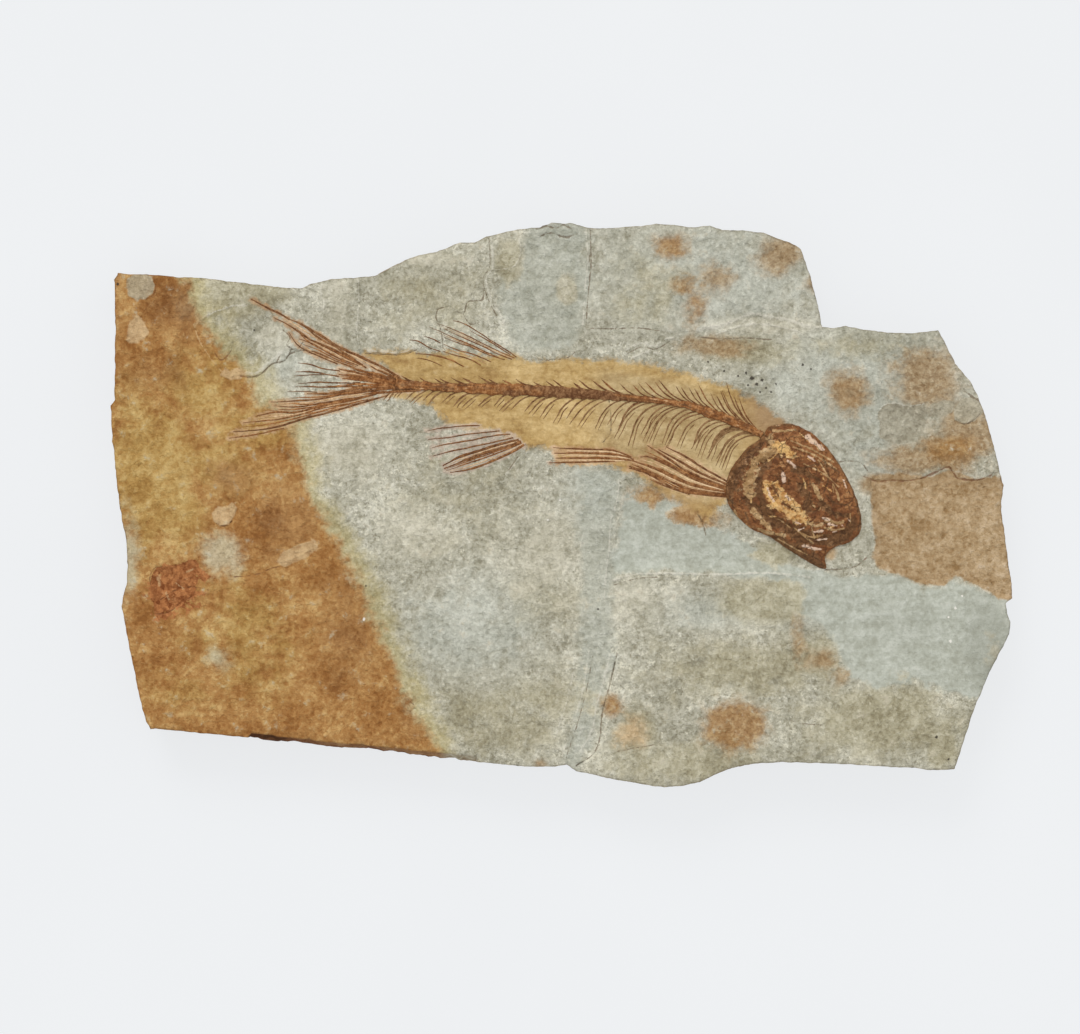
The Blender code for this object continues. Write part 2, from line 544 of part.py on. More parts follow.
def make_fin(name, base, tips, rays, bow, finish):
    """A fan of bony rays joined by their web: ridges on a thin sheet, in one closed solid."""
    low = FISH_BED + BONE_GAP
    rows = []
    for station in RAY_STATIONS:
        row = []
        for k in range(rays):
            u = k / (rays - 1)
            start, end = smooth_point(base, u), smooth_point(tips, u)
            foot, crest = curved_path(start, end, bow, (min(station, WEB_REACH), station))
            room = between((width_around(base, u, rays), width_around(tips, u, rays)), station)
            half_width = RAY_HALF_WIDTH * between(RAY_WIDTH_SHARES, station)
            half_width = min(half_width, room * RAY_ROOM_SHARE)
            across = Vector((-(end - start).y, (end - start).x)).normalized() * half_width
            if (smooth_point(base, 1.0) - smooth_point(base, 0.0)).dot(across) < 0:
                across = -across
            height = RAY_HEIGHT * between(RAY_HEIGHT_SHARES, station)
            web = WEB_HEIGHT * between(WEB_HEIGHT_SHARES, station)
            row.append((*(foot - across), low + web))
            row.append((*crest, low + height))
            row.append((*(foot + across), low + web))
        rows.append(row)
    width = len(rows[0])
    corners = [corner for row in rows for corner in row]
    faces = []
    for r in range(len(rows) - 1):
        for c in range(width - 1):
            near = r * width + c
            faces.append((near, near + 1, near + width + 1, near + width))
    last = (len(rows) - 1) * width
    rim = list(range(width))
    rim += [r * width + width - 1 for r in range(1, len(rows))]
    rim += [last + c for c in range(width - 2, -1, -1)]
    rim += [r * width for r in range(len(rows) - 2, 0, -1)]
    under = {}
    for i in rim:
        under[i] = len(corners)
        corners.append((corners[i][0], corners[i][1], low))
    for a, b in zip(rim, rim[1:] + rim[:1]):
        faces.append((a, under[a], under[b], b))
    faces.append(tuple(under[i] for i in rim))
    shade_round(solid(name, corners, faces, finish))


clear_scene()
stone = material("stone", (0.50, 0.48, 0.38), 0.9)
bone = material("bone", (0.26, 0.11, 0.05), 0.5)
ray_bone = material("ray_bone", (0.36, 0.19, 0.11), 0.6)
make_slab(stone)
make_skull(bone)
make_backbone(bone)
for fin in FINS:
    make_fin(*fin, ray_bone)
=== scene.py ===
"""The looks of the fossil fish slab: its broken stone, its stains and its bones.

Everything is in the frame's own metres; sizes below are in millimetres and are turned into metres
where a mesh is made. The stone's fine surface is cast from the slab of the frame, and the fish lies
on that surface.
"""

import math
import random

import bmesh
import bpy
import numpy as np
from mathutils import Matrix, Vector
from mathutils.bvhtree import BVHTree
from mathutils.geometry import delaunay_2d_cdt


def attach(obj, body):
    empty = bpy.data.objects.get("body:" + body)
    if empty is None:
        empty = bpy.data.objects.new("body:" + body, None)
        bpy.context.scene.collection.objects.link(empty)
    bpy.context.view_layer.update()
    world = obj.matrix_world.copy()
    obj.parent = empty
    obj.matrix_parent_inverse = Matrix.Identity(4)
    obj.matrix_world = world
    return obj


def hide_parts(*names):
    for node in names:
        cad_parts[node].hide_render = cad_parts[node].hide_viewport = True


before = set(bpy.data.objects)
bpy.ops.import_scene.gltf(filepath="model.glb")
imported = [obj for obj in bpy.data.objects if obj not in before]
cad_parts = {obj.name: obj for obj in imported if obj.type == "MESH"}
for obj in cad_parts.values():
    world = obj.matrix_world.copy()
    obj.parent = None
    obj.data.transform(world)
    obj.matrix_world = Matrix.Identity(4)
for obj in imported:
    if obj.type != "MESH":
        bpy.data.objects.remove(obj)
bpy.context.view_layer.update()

MM = 0.001

# The camera looks straight down on the slab
IMAGE_SIZE = (1080, 1034)
MM_PER_PIXEL = 0.16611
CAMERA_AIM = (-3.57, -1.99)
CAMERA_LENS = 120.0
CAMERA_SENSOR = 36.0
FACE_HEIGHT = 9.0

# The photograph's pixel that lies over the middle of the slab
PIXEL_CENTRE = (561.5, 505.0)


def mm(*pixels):
    """Points read in the photograph's pixels, as millimetres on the slab."""
    return [((x - PIXEL_CENTRE[0]) * MM_PER_PIXEL, (PIXEL_CENTRE[1] - y) * MM_PER_PIXEL) for x, y in pixels]


# How finely the stone is made
TOP_CELL = 0.5
STEP_CELL = 0.19
STEP_SEEN = 0.09
MARK_CELL = 0.2
EDGE_CELL = 0.5
BACK_CELL = 2.2
BEDS_IN_SIDE = 7
BED_GAP = 0.012
EDGE_WEAR = 0.7
RIM_WIDTH = 0.45

# Extra points: across a mark in shares of its width, round a speck in shares of its radius
MARK_OFFSETS = (-2.2, -1.1, 0.0, 1.1, 2.2)
MARK_SHAKE = 0.06
SPECK_RINGS = (0.05, 0.6, 1.2, 1.8)
SPECK_TURNS = (0.0, 6.2, 0.785)
EDGE_MARGIN = 0.12

# How finely the frame's slab is cast, and the widths over which its steps are softened
CAST_CELL = 0.16
SOFT_WIDTHS = (0.0, 0.35, 1.1)

# Heights of the frame's side rings and how far each lies inside the outline
SIDE_HEIGHTS = (0.0, 1.3, 3.0, 4.6, 6.4, 8.2, 9.5)
SIDE_INSETS = (1.5, 0.5, 0.8, 0.35, 0.6, 0.15, 0.0)

# The part of the frame's slab that is cast from above, and the least height of its face
CAST_START = (-76.0, -48.0)
CAST_SPAN = (152.0, 96.0)
CAST_FROM = 30.0
DOWN = Vector((0.0, 0.0, -1.0))
FACE_ABOVE = 7.0

# The value of an area's mask far outside it
FAR_OUT = -30.0

# The sheet under the slab (half its width in metres), the sky and the sun
FLOOR_HALF = 2.5
SKY_COLOUR = (0.785, 0.79, 0.795, 1.0)
SUN_COLOUR = (1.0, 0.995, 0.985)
SUN_STRENGTH = 1.25
SUN_WIDTH = math.radians(30)
SUN_TURN = (math.radians(-52), 0.0, math.radians(18))

# Stains, films and fillings on the face, as outlines
STAIN = [
    (-90.0, 60.0), (-66.0, 60.0), (-63.0, 39.0), (-60.8, 34.0), (-57.0, 28.0), (-53.4, 23.0),
    (-51.0, 20.8), (-49.4, 17.4), (-46.5, 15.2), (-44.0, 12.8), (-42.4, 6.0), (-41.4, 1.2),
    (-38.6, -3.0), (-36.0, -7.3), (-33.6, -11.8), (-31.4, -15.8), (-28.5, -23.7), (-25.6, -30.0),
    (-22.6, -36.5), (-20.0, -41.0), (-17.0, -60.0), (-90.0, -60.0),
]
FILM = [
    (-26.5, 20.6), (-30.4, 23.4), (-33.0, 24.9), (-32.5, 25.5), (-27.2, 25.9), (-24.0, 25.5), (-18.5, 25.3),
    (-13.0, 24.8), (-7.6, 24.9), (-6.5, 24.2), (-1.0, 24.3), (2.2, 24.2), (8.0, 24.1), (13.0, 23.6),
    (19.7, 22.3), (24.0, 21.1), (28.3, 19.4), (32.3, 17.6), (35.6, 15.3), (38.3, 13.1), (34.0, 7.0),
    (30.0, 2.0), (27.3, 0.2), (24.3, -2.3), (21.5, -0.6), (17.7, 1.1), (14.7, 3.3), (11.8, 5.4),
    (8.0, 6.6), (3.0, 6.7), (-1.2, 6.9), (-1.6, 9.0), (-6.0, 9.6), (-8.9, 10.6), (-10.5, 11.7),
    (-15.5, 12.7), (-19.2, 14.0), (-21.8, 16.2), (-24.5, 17.6), (-29.0, 18.2), (-26.8, 19.4),
]
BROWN_BLOCK = [
    (51.6, 4.9), (56.2, 5.5), (61.2, 4.7), (64.5, 5.9), (66.5, 5.3), (68.7, 4.4), (71.2, 4.7),
    (79.5, 5.5), (79.5, -16.6), (72.5, -15.6), (71.2, -14.6), (67.9, -13.0), (65.4, -11.8),
    (63.5, -13.4), (59.6, -13.4), (56.6, -11.8), (52.9, -10.7), (51.5, -8.8), (52.2, -5.8),
    (51.5, -2.5), (51.4, 0.8),
]
PUTTY = [
    (10.4, 0.8), (12.0, 2.9), (14.4, 2.9), (17.7, 1.4), (21.3, -0.6), (23.8, -2.9), (26.3, -4.4),
    (30.5, -5.6), (34.3, -7.9), (38.0, -9.8), (43.0, -11.4), (51.0, -11.4), (57.0, -12.0),
    (60.0, -14.4), (65.0, -12.2), (71.0, -14.8), (80.0, -15.8), (80.0, -33.0), (66.0, -32.0),
    (58.0, -29.0), (52.0, -31.0), (47.0, -27.5), (43.5, -20.0), (39.0, -17.0), (36.0, -12.4),
    (24.0, -11.2), (8.7, -11.2), (8.6, -6.6), (9.6, -3.3),
]
# Bluish, smoother stone: the block at the top and the band down the seam
SMOOTH_AREAS = [
    [
        (-10.2, 37.9), (-6.9, 38.9), (-6.2, 43.5), (-3.6, 60.0), (3.1, 60.0), (4.4, 44.0), (4.2, 33.0),
        (1.9, 26.1), (-0.9, 25.6), (-4.9, 25.4), (-6.9, 25.7), (-8.9, 27.7), (-10.5, 31.1), (-10.2, 34.1),
        (-11.2, 35.7),
    ],
    [
        (3.0, 6.4), (9.4, 6.4), (10.0, 2.0), (9.4, -6.0), (9.0, -12.0), (8.4, -20.0), (9.2, -26.0),
        (6.9, -33.0), (5.6, -39.0), (2.4, -46.0), (-0.6, -46.0), (1.4, -36.0), (2.6, -27.0),
        (3.2, -15.0), (2.4, -5.0),
    ],
]
# Thin beds left standing on the face: outline and height
THIN_BEDS = [
    ([(-33.7, 60.0), (-33.8, 25.9), (-24.0, 25.9), (-11.0, 25.4), (-11.4, 35.7), (-10.4, 38.0),
      (-10.8, 60.0)], 0.16),
    ([(-39.6, 60.0), (-39.9, 25.6), (-33.8, 25.2), (-33.7, 60.0)], 0.07),
]

# Soft spots on the face, by kind: x, y, half width, half height, strength
SPOTS = {
    "rust": (
        (25.8, 37.6, 2.6, 2.4, 0.85), (20.2, 36.4, 1.8, 1.6, 0.7), (36.0, 41.5, 3.4, 2.8, 1.0),
        (42.1, 37.0, 1.6, 1.6, 0.8), (47.4, 18.8, 2.9, 3.1, 1.3), (60.8, 21.2, 5.2, 4.4, 1.1),
        (67.0, 11.6, 5.6, 4.4, 1.2), (64.5, 9.1, 5.2, 3.0, 1.35), (59.5, 7.6, 6.5, 2.0, 1.1),
        (25.6, 26.3, 5.4, 1.7, 0.95), (52.4, 3.6, 2.6, 1.4, 1.2), (39.4, -22.6, 1.2, 3.4, 0.78),
        (43.0, -25.6, 2.8, 1.7, 0.74), (46.4, -28.4, 1.8, 1.8, 0.55), (-3.6, -42.9, 1.0, 0.8, 0.8),
    ),
    "orange": (
        (18.2, 42.8, 2.6, 2.4, 0.85), (21.8, 33.4, 2.0, 3.4, 0.7), (47.4, 18.8, 2.0, 2.2, 0.75),
        (64.5, 9.1, 4.2, 2.4, 0.8), (28.4, -36.7, 4.1, 3.4, 1.3), (8.4, -33.2, 1.5, 2.2, 0.8),
        (16.0, 1.6, 4.6, 2.2, 0.75), (21.6, -1.8, 4.6, 1.8, 1.0),
    ),
    "olive": (
        (42.0, -25.0, 5.0, 4.0, 0.9), (33.1, -16.0, 6.4, 2.8, 1.6), (30.4, 25.6, 8.0, 2.2, 0.95),
        (52.9, -35.7, 13.0, 5.8, 0.95), (63.4, -40.7, 2.4, 2.8, 1.2), (30.0, -27.0, 14.0, 5.0, 0.8),
        (20.0, -42.6, 15.0, 3.6, 0.85), (71.5, -25.0, 2.2, 6.0, 0.6), (-56.0, 35.5, 9.0, 3.6, 1.45),
        (-22.2, 34.5, 10.5, 7.8, 0.5), (0.0, -32.0, 9.0, 6.0, 0.6), (-1.0, -15.0, 8.0, 5.0, 0.5),
        (-8.8, 40.4, 2.2, 3.8, 1.1), (0.8, 35.6, 1.8, 2.6, 1.1), (35.5, -8.0, 4.0, 2.0, 1.1),
        (-12.0, -36.0, 16.0, 7.0, 0.6), (14.0, 36.0, 7.0, 7.0, 0.55), (-18.0, 0.0, 14.0, 9.0, 0.4),
        (50.0, 27.0, 10.0, 3.0, 0.5), (12.5, -38.0, 4.0, 4.0, 0.9),
    ),
    "blue": (
        (-14.0, -20.0, 10.0, 9.0, 0.8), (4.0, 2.0, 5.0, 5.0, 0.6), (-45.4, 24.6, 3.4, 4.2, 0.7),
        (24.0, -17.5, 8.0, 3.0, 0.9), (44.0, -17.5, 7.0, 4.0, 0.9), (24.0, 38.0, 19.0, 8.0, 0.95),
        (50.0, 21.0, 15.0, 10.0, 0.95), (52.0, 8.0, 6.0, 4.0, 0.8),
    ),
    "pale": (
        (-72.3, -8.3, 1.8, 7.0, 0.8), (-56.4, -8.1, 2.8, 3.0, 1.1), (-56.8, -25.6, 2.3, 2.2, 0.6),
        (-35.1, 9.1, 5.0, 4.0, 0.9), (-2.0, 36.0, 6.0, 8.0, 0.5), (-37.0, 32.0, 2.6, 6.0, 0.7),
        (34.0, 29.8, 8.0, 1.3, 1.1), (-22.0, 41.0, 2.4, 1.2, 1.1), (10.0, -16.0, 10.0, 4.0, 0.6),
        (-2.0, -8.0, 9.0, 6.0, 0.8), (-24.0, -4.0, 8.0, 4.0, 0.6), (-38.0, 11.5, 5.0, 3.0, 0.7),
        (-47.0, 28.6, 3.0, 3.4, 0.9),
    ),
    "tan": (
        (44.3, -7.8, 1.0, 0.9, 1.3), (11.5, -38.0, 2.6, 2.6, 0.62),
    ),
    "red": (
        (-64.6, -12.4, 3.2, 2.0, 1.2), (-64.2, -15.6, 3.6, 1.8, 1.2), (-66.2, -17.6, 1.6, 1.6, 1.0),
        (-59.5, -12.0, 1.4, 1.0, 0.8),
    ),
    "shade": (
        (47.4, 18.8, 1.9, 1.9, 1.25), (67.4, 16.2, 3.0, 2.3, 1.35), (-62.4, 32.6, 6.0, 4.4, 0.95),
        (-67.0, 22.0, 5.0, 4.0, 0.6), (-55.0, 4.4, 4.0, 3.0, 0.8), (-46.0, -3.0, 5.0, 6.0, 0.7),
        (-35.0, -20.0, 5.0, 9.0, 0.7), (-74.6, 38.4, 1.3, 1.6, 1.3), (-24.8, -33.0, 3.0, 6.0, 0.7),
        (51.8, -3.0, 1.4, 6.0, 0.8), (71.0, -23.5, 5.0, 9.0, 1.1), (57.0, -20.0, 9.0, 5.0, 0.6),
    ),
    "ochre": (
        (-68.0, 6.0, 7.5, 13.0, 1.0), (-52.0, -22.0, 9.0, 9.0, 0.6), (-51.0, 13.0, 7.0, 4.0, 0.75),
        (-61.0, 19.0, 7.0, 6.0, 0.8), (-57.0, 6.0, 6.0, 5.0, 0.8), (-66.0, -1.0, 7.0, 5.0, 0.9),
        (-63.4, -30.7, 6.0, 5.0, 0.45),
    ),
    "chip": (),
    "scar": (),
}
# Small flakes that stand on the face or have come off it: kind, height, outline
FLAKES = [(kind, lift, mm(*line)) for kind, lift, *line in (
    ("chip", 0.13, (127, 279), (133, 274), (143, 273), (151, 277), (155, 285), (153, 293), (146, 299),
     (137, 300), (129, 296), (126, 288)),
    ("tan", 0.1, (130, 322), (138, 316), (144, 323), (149, 332), (143, 340), (132, 344), (126, 340),
     (128, 330)),
    ("tan", 0.22, (212, 514), (218, 506), (226, 508), (232, 502), (237, 508), (234, 516), (229, 524),
     (220, 526), (214, 521)),
    ("scar", 0.1, (878, 412), (886, 404), (898, 402), (910, 406), (924, 403), (927, 412), (925, 424),
     (920, 436), (909, 442), (893, 443), (880, 438)),
    ("scar", 0.12, (954, 410), (962, 399), (973, 396), (984, 403), (983, 412), (974, 421), (964, 424),
     (955, 420)),
    ("scar", 0.04, (930, 404), (944, 400), (955, 402), (952, 412), (940, 418), (928, 416)),
    ("red", -0.09, (151, 577), (157, 567), (168, 566), (180, 563), (196, 559), (201, 570), (196, 588),
     (190, 598), (172, 610), (157, 614), (152, 600), (150, 588)),
    ("tan", 0.05, (277, 562), (284, 552), (298, 545), (313, 541), (318, 548), (308, 557), (296, 562),
     (284, 567)),
    ("tan", 0.14, (220, 375), (225, 368), (230, 372), (237, 368), (244, 372), (241, 378), (231, 379)),
)]

# Lines on the face: kind, half width, how far they rise, points
# Raised lines are lips, painted pale as wear and painted highlight; sunken lines are cracks and grooves
# under ledges, painted dark, partly as painted shadow
STONE_MARKS = [("lip" if lift > 0 else "crack", wide, lift, mm(*line)) for wide, lift, *line in (
    (0.15, -0.14, (240, 376), (252, 377), (261, 374), (272, 364), (284, 361), (291, 353), (305, 350)),
    (0.1, -0.08, (276, 363), (281, 355), (287, 357), (292, 349), (299, 351), (303, 346)),
    (0.12, -0.1, (283, 330), (290, 337), (287, 345), (296, 350), (303, 342)),
    (0.11, -0.08, (214, 352), (221, 360), (230, 352), (233, 341)),
    (0.3, 0.12, (236, 374), (254, 373), (264, 367), (276, 356), (290, 345)),
    (0.2, 0.1, (194, 325), (203, 318), (217, 311), (232, 306), (247, 305)),
    (0.14, 0.06, (194, 325), (199, 340), (209, 356), (222, 372)),
    (0.16, 0.07, (322, 282), (321, 296), (324, 302), (322, 321)),
    (0.14, 0.07, (358, 278), (359, 300), (357, 330), (360, 352)),
    (0.2, 0.12, (491, 236), (493, 266), (486, 279), (491, 298), (500, 314), (505, 325)),
    (0.1, -0.08, (489, 238), (490, 266), (483, 279), (488, 299), (497, 316)),
    (0.14, 0.08, (516, 233), (521, 249), (514, 266), (496, 270)),
    (0.13, -0.12, (438, 309), (450, 307), (463, 314), (468, 302), (482, 300), (484, 289)),
    (0.12, -0.12, (438, 309), (436, 318), (441, 330), (443, 348)),
    (0.12, -0.1, (463, 314), (470, 324), (480, 322)),
    (0.22, 0.16, (367, 351), (385, 352), (404, 352), (417, 346), (421, 353)),
    (0.11, -0.1, (365, 353.5), (385, 354.5), (404, 354.5), (418, 349)),
    (0.1, -0.08, (520, 359), (545, 360), (566, 358), (575, 352)),
    (0.2, -0.15, (536, 229), (545, 226), (556, 228), (563, 225), (572, 229)),
    (0.18, -0.12, (540, 236), (552, 233), (565, 237), (577, 234)),
    (0.16, 0.08, (586, 232), (588, 260), (585, 290), (583, 325)),
    (0.15, -0.14, (590, 230), (591, 262), (588, 296), (586, 326)),
    (0.2, -0.14, (589.5, 256), (589.5, 262)),
    (0.34, 0.2, (698, 329), (715, 327), (732, 322), (751, 314), (768, 317), (785, 319), (803, 325),
     (821, 327)),
    (0.16, 0.14, (716, 334), (734, 328), (752, 324), (776, 326), (800, 332)),
    (0.16, 0.12, (728, 322), (738, 326), (746, 320), (755, 324)),
    (0.13, -0.12, (698, 337), (720, 339), (745, 338), (772, 340)),
    (0.1, -0.08, (586, 328), (610, 329), (636, 328), (660, 331)),
    (0.2, 0.12, (626, 350), (640, 343), (655, 346), (668, 338), (684, 342)),
    (0.16, 0.1, (632, 358), (646, 352), (662, 354)),
    (0.1, -0.08, (628, 353), (642, 347), (656, 349), (670, 341)),
    (0.11, -0.1, (839, 462), (850, 461), (861, 463), (867, 470)),
    (0.24, -0.1, (864, 476), (878, 481), (892, 480), (906, 481)),
    (0.17, -0.1, (900, 481), (919, 479), (934, 473), (948, 467), (953, 472), (958, 478), (970, 480),
     (982, 479), (998, 472)),
    (0.14, 0.05, (878, 412), (884, 405), (896, 403), (908, 406), (924, 404)),
    (0.13, -0.1, (955, 421), (966, 424), (976, 418), (984, 408)),
    (0.2, -0.12, (964, 391), (972, 396), (979, 401)),
    (0.2, 0.1, (612, 581), (624, 577), (636, 574), (670, 573), (700, 574), (732, 574), (770, 573),
     (809, 577)),
    (0.1, -0.06, (614, 585), (640, 578), (672, 577)),
    (0.16, 0.08, (619, 480), (617, 500), (611, 520), (609, 548), (606, 575), (604, 600)),
    (0.13, -0.14, (617, 653), (611, 680), (604, 705), (601, 722), (600, 737), (593, 754), (576, 766)),
    (0.2, 0.12, (610, 655), (603, 682), (596, 708), (592, 730), (580, 752)),
    (0.14, 0.08, (589, 650), (583, 690), (572, 726), (562, 756)),
    (0.1, -0.08, (593, 655), (586, 692), (576, 728), (566, 758)),
    (0.12, 0.06, (574, 668), (566, 704), (554, 740)),
    (0.1, -0.08, (615, 752), (634, 748), (652, 745), (660, 741)),
    (0.11, -0.08, (785, 718), (800, 723), (823, 725)),
    (0.14, -0.1, (698, 514), (703, 524), (706, 536)),
    (0.13, 0.1, (525, 449), (519, 458), (512, 467), (506, 474)),
    (0.11, 0.1, (527, 452), (522, 462), (517, 471)),
    (0.1, -0.05, (521, 452), (515, 461), (509, 470)),
    (0.1, -0.05, (609, 399), (611, 418), (610, 434), (602, 443)),
    (0.12, -0.08, (154, 279), (156, 287), (153, 295), (145, 300)),
    (0.12, -0.08, (151, 585), (150, 577), (155, 568), (166, 567)),
    (0.13, -0.1, (196, 588), (192, 596), (180, 603), (169, 612), (155, 614)),
    (0.1, -0.06, (160, 600), (176, 590), (194, 587), (208, 590)),
    (0.3, 0.1, (158, 578), (160, 586)),
    (0.26, 0.1, (166, 593), (168, 600)),
    (0.22, 0.1, (176, 583), (183, 589)),
    (0.2, 0.1, (186, 572), (193, 569)),
    (0.1, -0.06, (233, 577), (247, 576), (261, 573), (272, 568), (284, 566)),
    (0.13, 0.06, (286, 552), (296, 546), (308, 542)),
    (0.12, 0.06, (288, 560), (300, 555), (312, 548)),
    (0.3, 0.12, (219, 512), (226, 507), (233, 510)),
    (0.2, 0.1, (229, 508), (236, 502)),
    (0.1, -0.08, (216, 523), (224, 526), (232, 521)),
    (0.12, -0.08, (409, 700), (414, 705)),
    (0.13, -0.08, (825, 570), (842, 569), (856, 566), (868, 556)),
)]

# Black and white specks on the face, in the photograph's pixels: place and half width
BLACK_SPECKS = [
    (724, 371, 1.0), (738, 376, 1.0), (746, 373, 1.3), (752, 378, 2.1), (757, 384, 1.7), (762, 380, 1.5),
    (748, 385, 1.2), (766, 388, 1.2), (771, 392, 1.1), (760, 392, 1.0), (776, 384, 1.0), (803, 365, 1.4),
    (811, 369, 1.0), (598, 609, 0.9), (366, 586, 0.8), (936, 737, 1.4), (948, 759, 1.1), (254, 330, 1.0),
    (708, 362, 1.1), (118, 284, 1.3),
]
WHITE_SPECKS = [
    (955, 608, 1.3), (948, 617, 1.1), (950, 641, 1.4), (364, 619, 1.5), (962, 596, 0.9), (560, 500, 1.2),
    (548, 520, 1.0),
]

# The backbone's line from the tail to the skull, its half width, and what branches from it
BACKBONE_LINE = [
    (-27.6, 20.1), (-26.8, 20.0), (-21.8, 19.7), (-15.2, 19.4), (-8.6, 19.2), (-1.9, 18.8),
    (4.7, 18.4), (11.4, 17.8), (17.2, 17.2), (21.3, 16.5), (25.0, 15.2), (28.8, 13.7), (31.4, 12.6),
    (33.4, 11.6),
]
BACKBONE_HALF_WIDTHS = (1.2, 0.85, 0.7, 0.95, 1.05, 1.0, 0.8, 0.5, 0.55, 0.85, 0.8, 0.7, 0.6)
BACKBONE_HEIGHT = 0.4
BACKBONE_STATIONS = 420
VERTEBRAE = 46
RIB_COUNT = 42
RIBS_FROM = 0.06
RIBS_SPAN = 0.9
SECOND_RIB_SHARE = 0.6
SPINE_COUNT = 40
SPINES_FROM = 0.02
SPINES_SPAN = 0.95
SPINE_BEND = 9
RIB_STEPS = 5
RIB_HEIGHT = 0.06
RIB_HALF_WIDTH = 0.14
RAY_HEIGHT = 0.1
RAY_WIDTH_SHARES = {"tail_fin": 0.78, "dorsal_fin": 0.66, "anal_fin": 0.74, "pelvic_fin": 1.05,
                    "pectoral_fin": 1.05}
RAY_TONE_SHIFTS = {"tail_fin": -0.25, "dorsal_fin": 0.1, "anal_fin": 0.0, "pelvic_fin": -0.2,
                   "pectoral_fin": -0.2}

# Rays of the fins: the tip first, then points towards the base, then half width and tone.
# The tones are those of bone_finish.
TAIL_RAYS = [
    ([(-51.6, 34.2), (-48.7, 32.7), (-47.0, 31.9), (-45.1, 30.8)], 0.24, 0.45),
    ([(-45.1, 30.8), (-43.6, 30.2), (-40.2, 28.3), (-37.2, 26.4), (-33.4, 24.6), (-30.2, 23.1),
      (-26.9, 21.2)], 0.3, 0.6),
    ([(-47.8, 31.2), (-44.9, 29.6), (-41.9, 27.6), (-38.7, 26.2), (-35.5, 24.7), (-33.0, 23.3)], 0.2, 0.5),
    ([(-44.0, 29.3), (-41.5, 27.4), (-38.7, 26.0), (-35.5, 24.3), (-32.4, 22.8)], 0.2, 0.7),
    ([(-43.6, 27.6), (-41.0, 26.6), (-37.7, 24.7), (-33.8, 23.2)], 0.16, 0.6),
    ([(-43.0, 26.0), (-40.6, 25.3), (-37.7, 24.0), (-34.3, 22.8)], 0.18, 0.5),
    ([(-45.3, 28.7), (-44.0, 26.8), (-42.3, 25.6), (-40.2, 24.7), (-37.2, 23.4)], 0.15, 0.4),
    ([(-43.2, 30.2), (-41.5, 28.7), (-39.8, 27.4), (-37.2, 26.0), (-34.3, 24.0)], 0.24, 0.55),
    ([(-42.3, 18.5), (-38.7, 18.5), (-35.5, 18.9), (-30.9, 19.1)], 0.26, 0.6),
    ([(-48.3, 17.1), (-44.0, 17.3), (-39.8, 17.7), (-35.5, 18.5), (-30.2, 19.1)], 0.2, 0.6),
    ([(-47.8, 16.5), (-44.0, 16.3), (-40.2, 16.9), (-36.4, 17.5), (-32.4, 18.1)], 0.2, 0.7),
    ([(-50.8, 14.7), (-47.6, 15.4), (-44.0, 15.4), (-39.8, 16.4), (-35.5, 17.2), (-30.7, 18.5)], 0.24, 0.7),
    ([(-52.9, 13.7), (-48.3, 14.1), (-44.0, 14.9), (-39.8, 16.1), (-35.5, 16.8)], 0.18, 0.8),
    ([(-54.6, 12.2), (-51.4, 12.4), (-47.2, 13.0), (-43.0, 14.3), (-39.8, 15.1), (-35.5, 16.3),
      (-32.4, 17.2), (-28.8, 18.3)], 0.24, 0.3),
    ([(-55.2, 11.1), (-50.4, 11.8), (-46.1, 12.8)], 0.16, 0.9),
    ([(-37.0, 22.6), (-34.5, 22.1), (-31.3, 21.3), (-28.1, 20.2)], 0.34, 0.8),
    ([(-37.0, 21.7), (-33.8, 21.4), (-30.2, 20.8), (-27.1, 20.0)], 0.36, 0.9),
    ([(-36.4, 21.0), (-33.4, 20.8), (-29.6, 20.3), (-26.6, 19.8)], 0.34, 0.85),
    ([(-38.7, 18.6), (-34.5, 19.3), (-30.2, 19.6), (-27.1, 19.6)], 0.34, 0.8),
    ([(-35.5, 18.3), (-32.4, 18.9), (-29.2, 19.3), (-26.2, 19.5)], 0.3, 0.8),
    ([(-31.7, 23.0), (-29.2, 21.9), (-26.6, 20.7)], 0.3, 0.7),
    ([(-33.8, 22.6), (-30.4, 21.4), (-27.2, 20.5), (-23.6, 20.1)], 0.32, 0.75),
    ([(-33.0, 18.4), (-29.8, 18.7), (-26.6, 18.9), (-23.4, 19.1)], 0.32, 0.8),
    ([(-36.6, 23.6), (-33.6, 22.4), (-30.6, 21.7), (-27.8, 21.0)], 0.26, 0.85),
]
TAIL_MIDDLE_RAYS = [
    ([(-43.8, 23.6), (-41.9, 23.4), (-39.8, 22.7), (-36.8, 22.3)], 0.15, 0.15),
    ([(-44.2, 22.1), (-41.9, 22.1), (-40.0, 21.9), (-37.0, 21.3)], 0.15, 0.15),
    ([(-44.4, 21.4), (-41.9, 21.6), (-39.4, 21.7)], 0.1, 0.1),
    ([(-43.8, 20.2), (-40.6, 20.4), (-37.7, 20.3), (-33.4, 20.3)], 0.17, 0.15),
    ([(-44.2, 19.7), (-40.6, 19.6), (-37.7, 19.6), (-33.0, 19.8)], 0.17, 0.15),
    ([(-45.5, 18.8), (-43.2, 18.9), (-40.6, 18.7)], 0.1, 0.1),
]
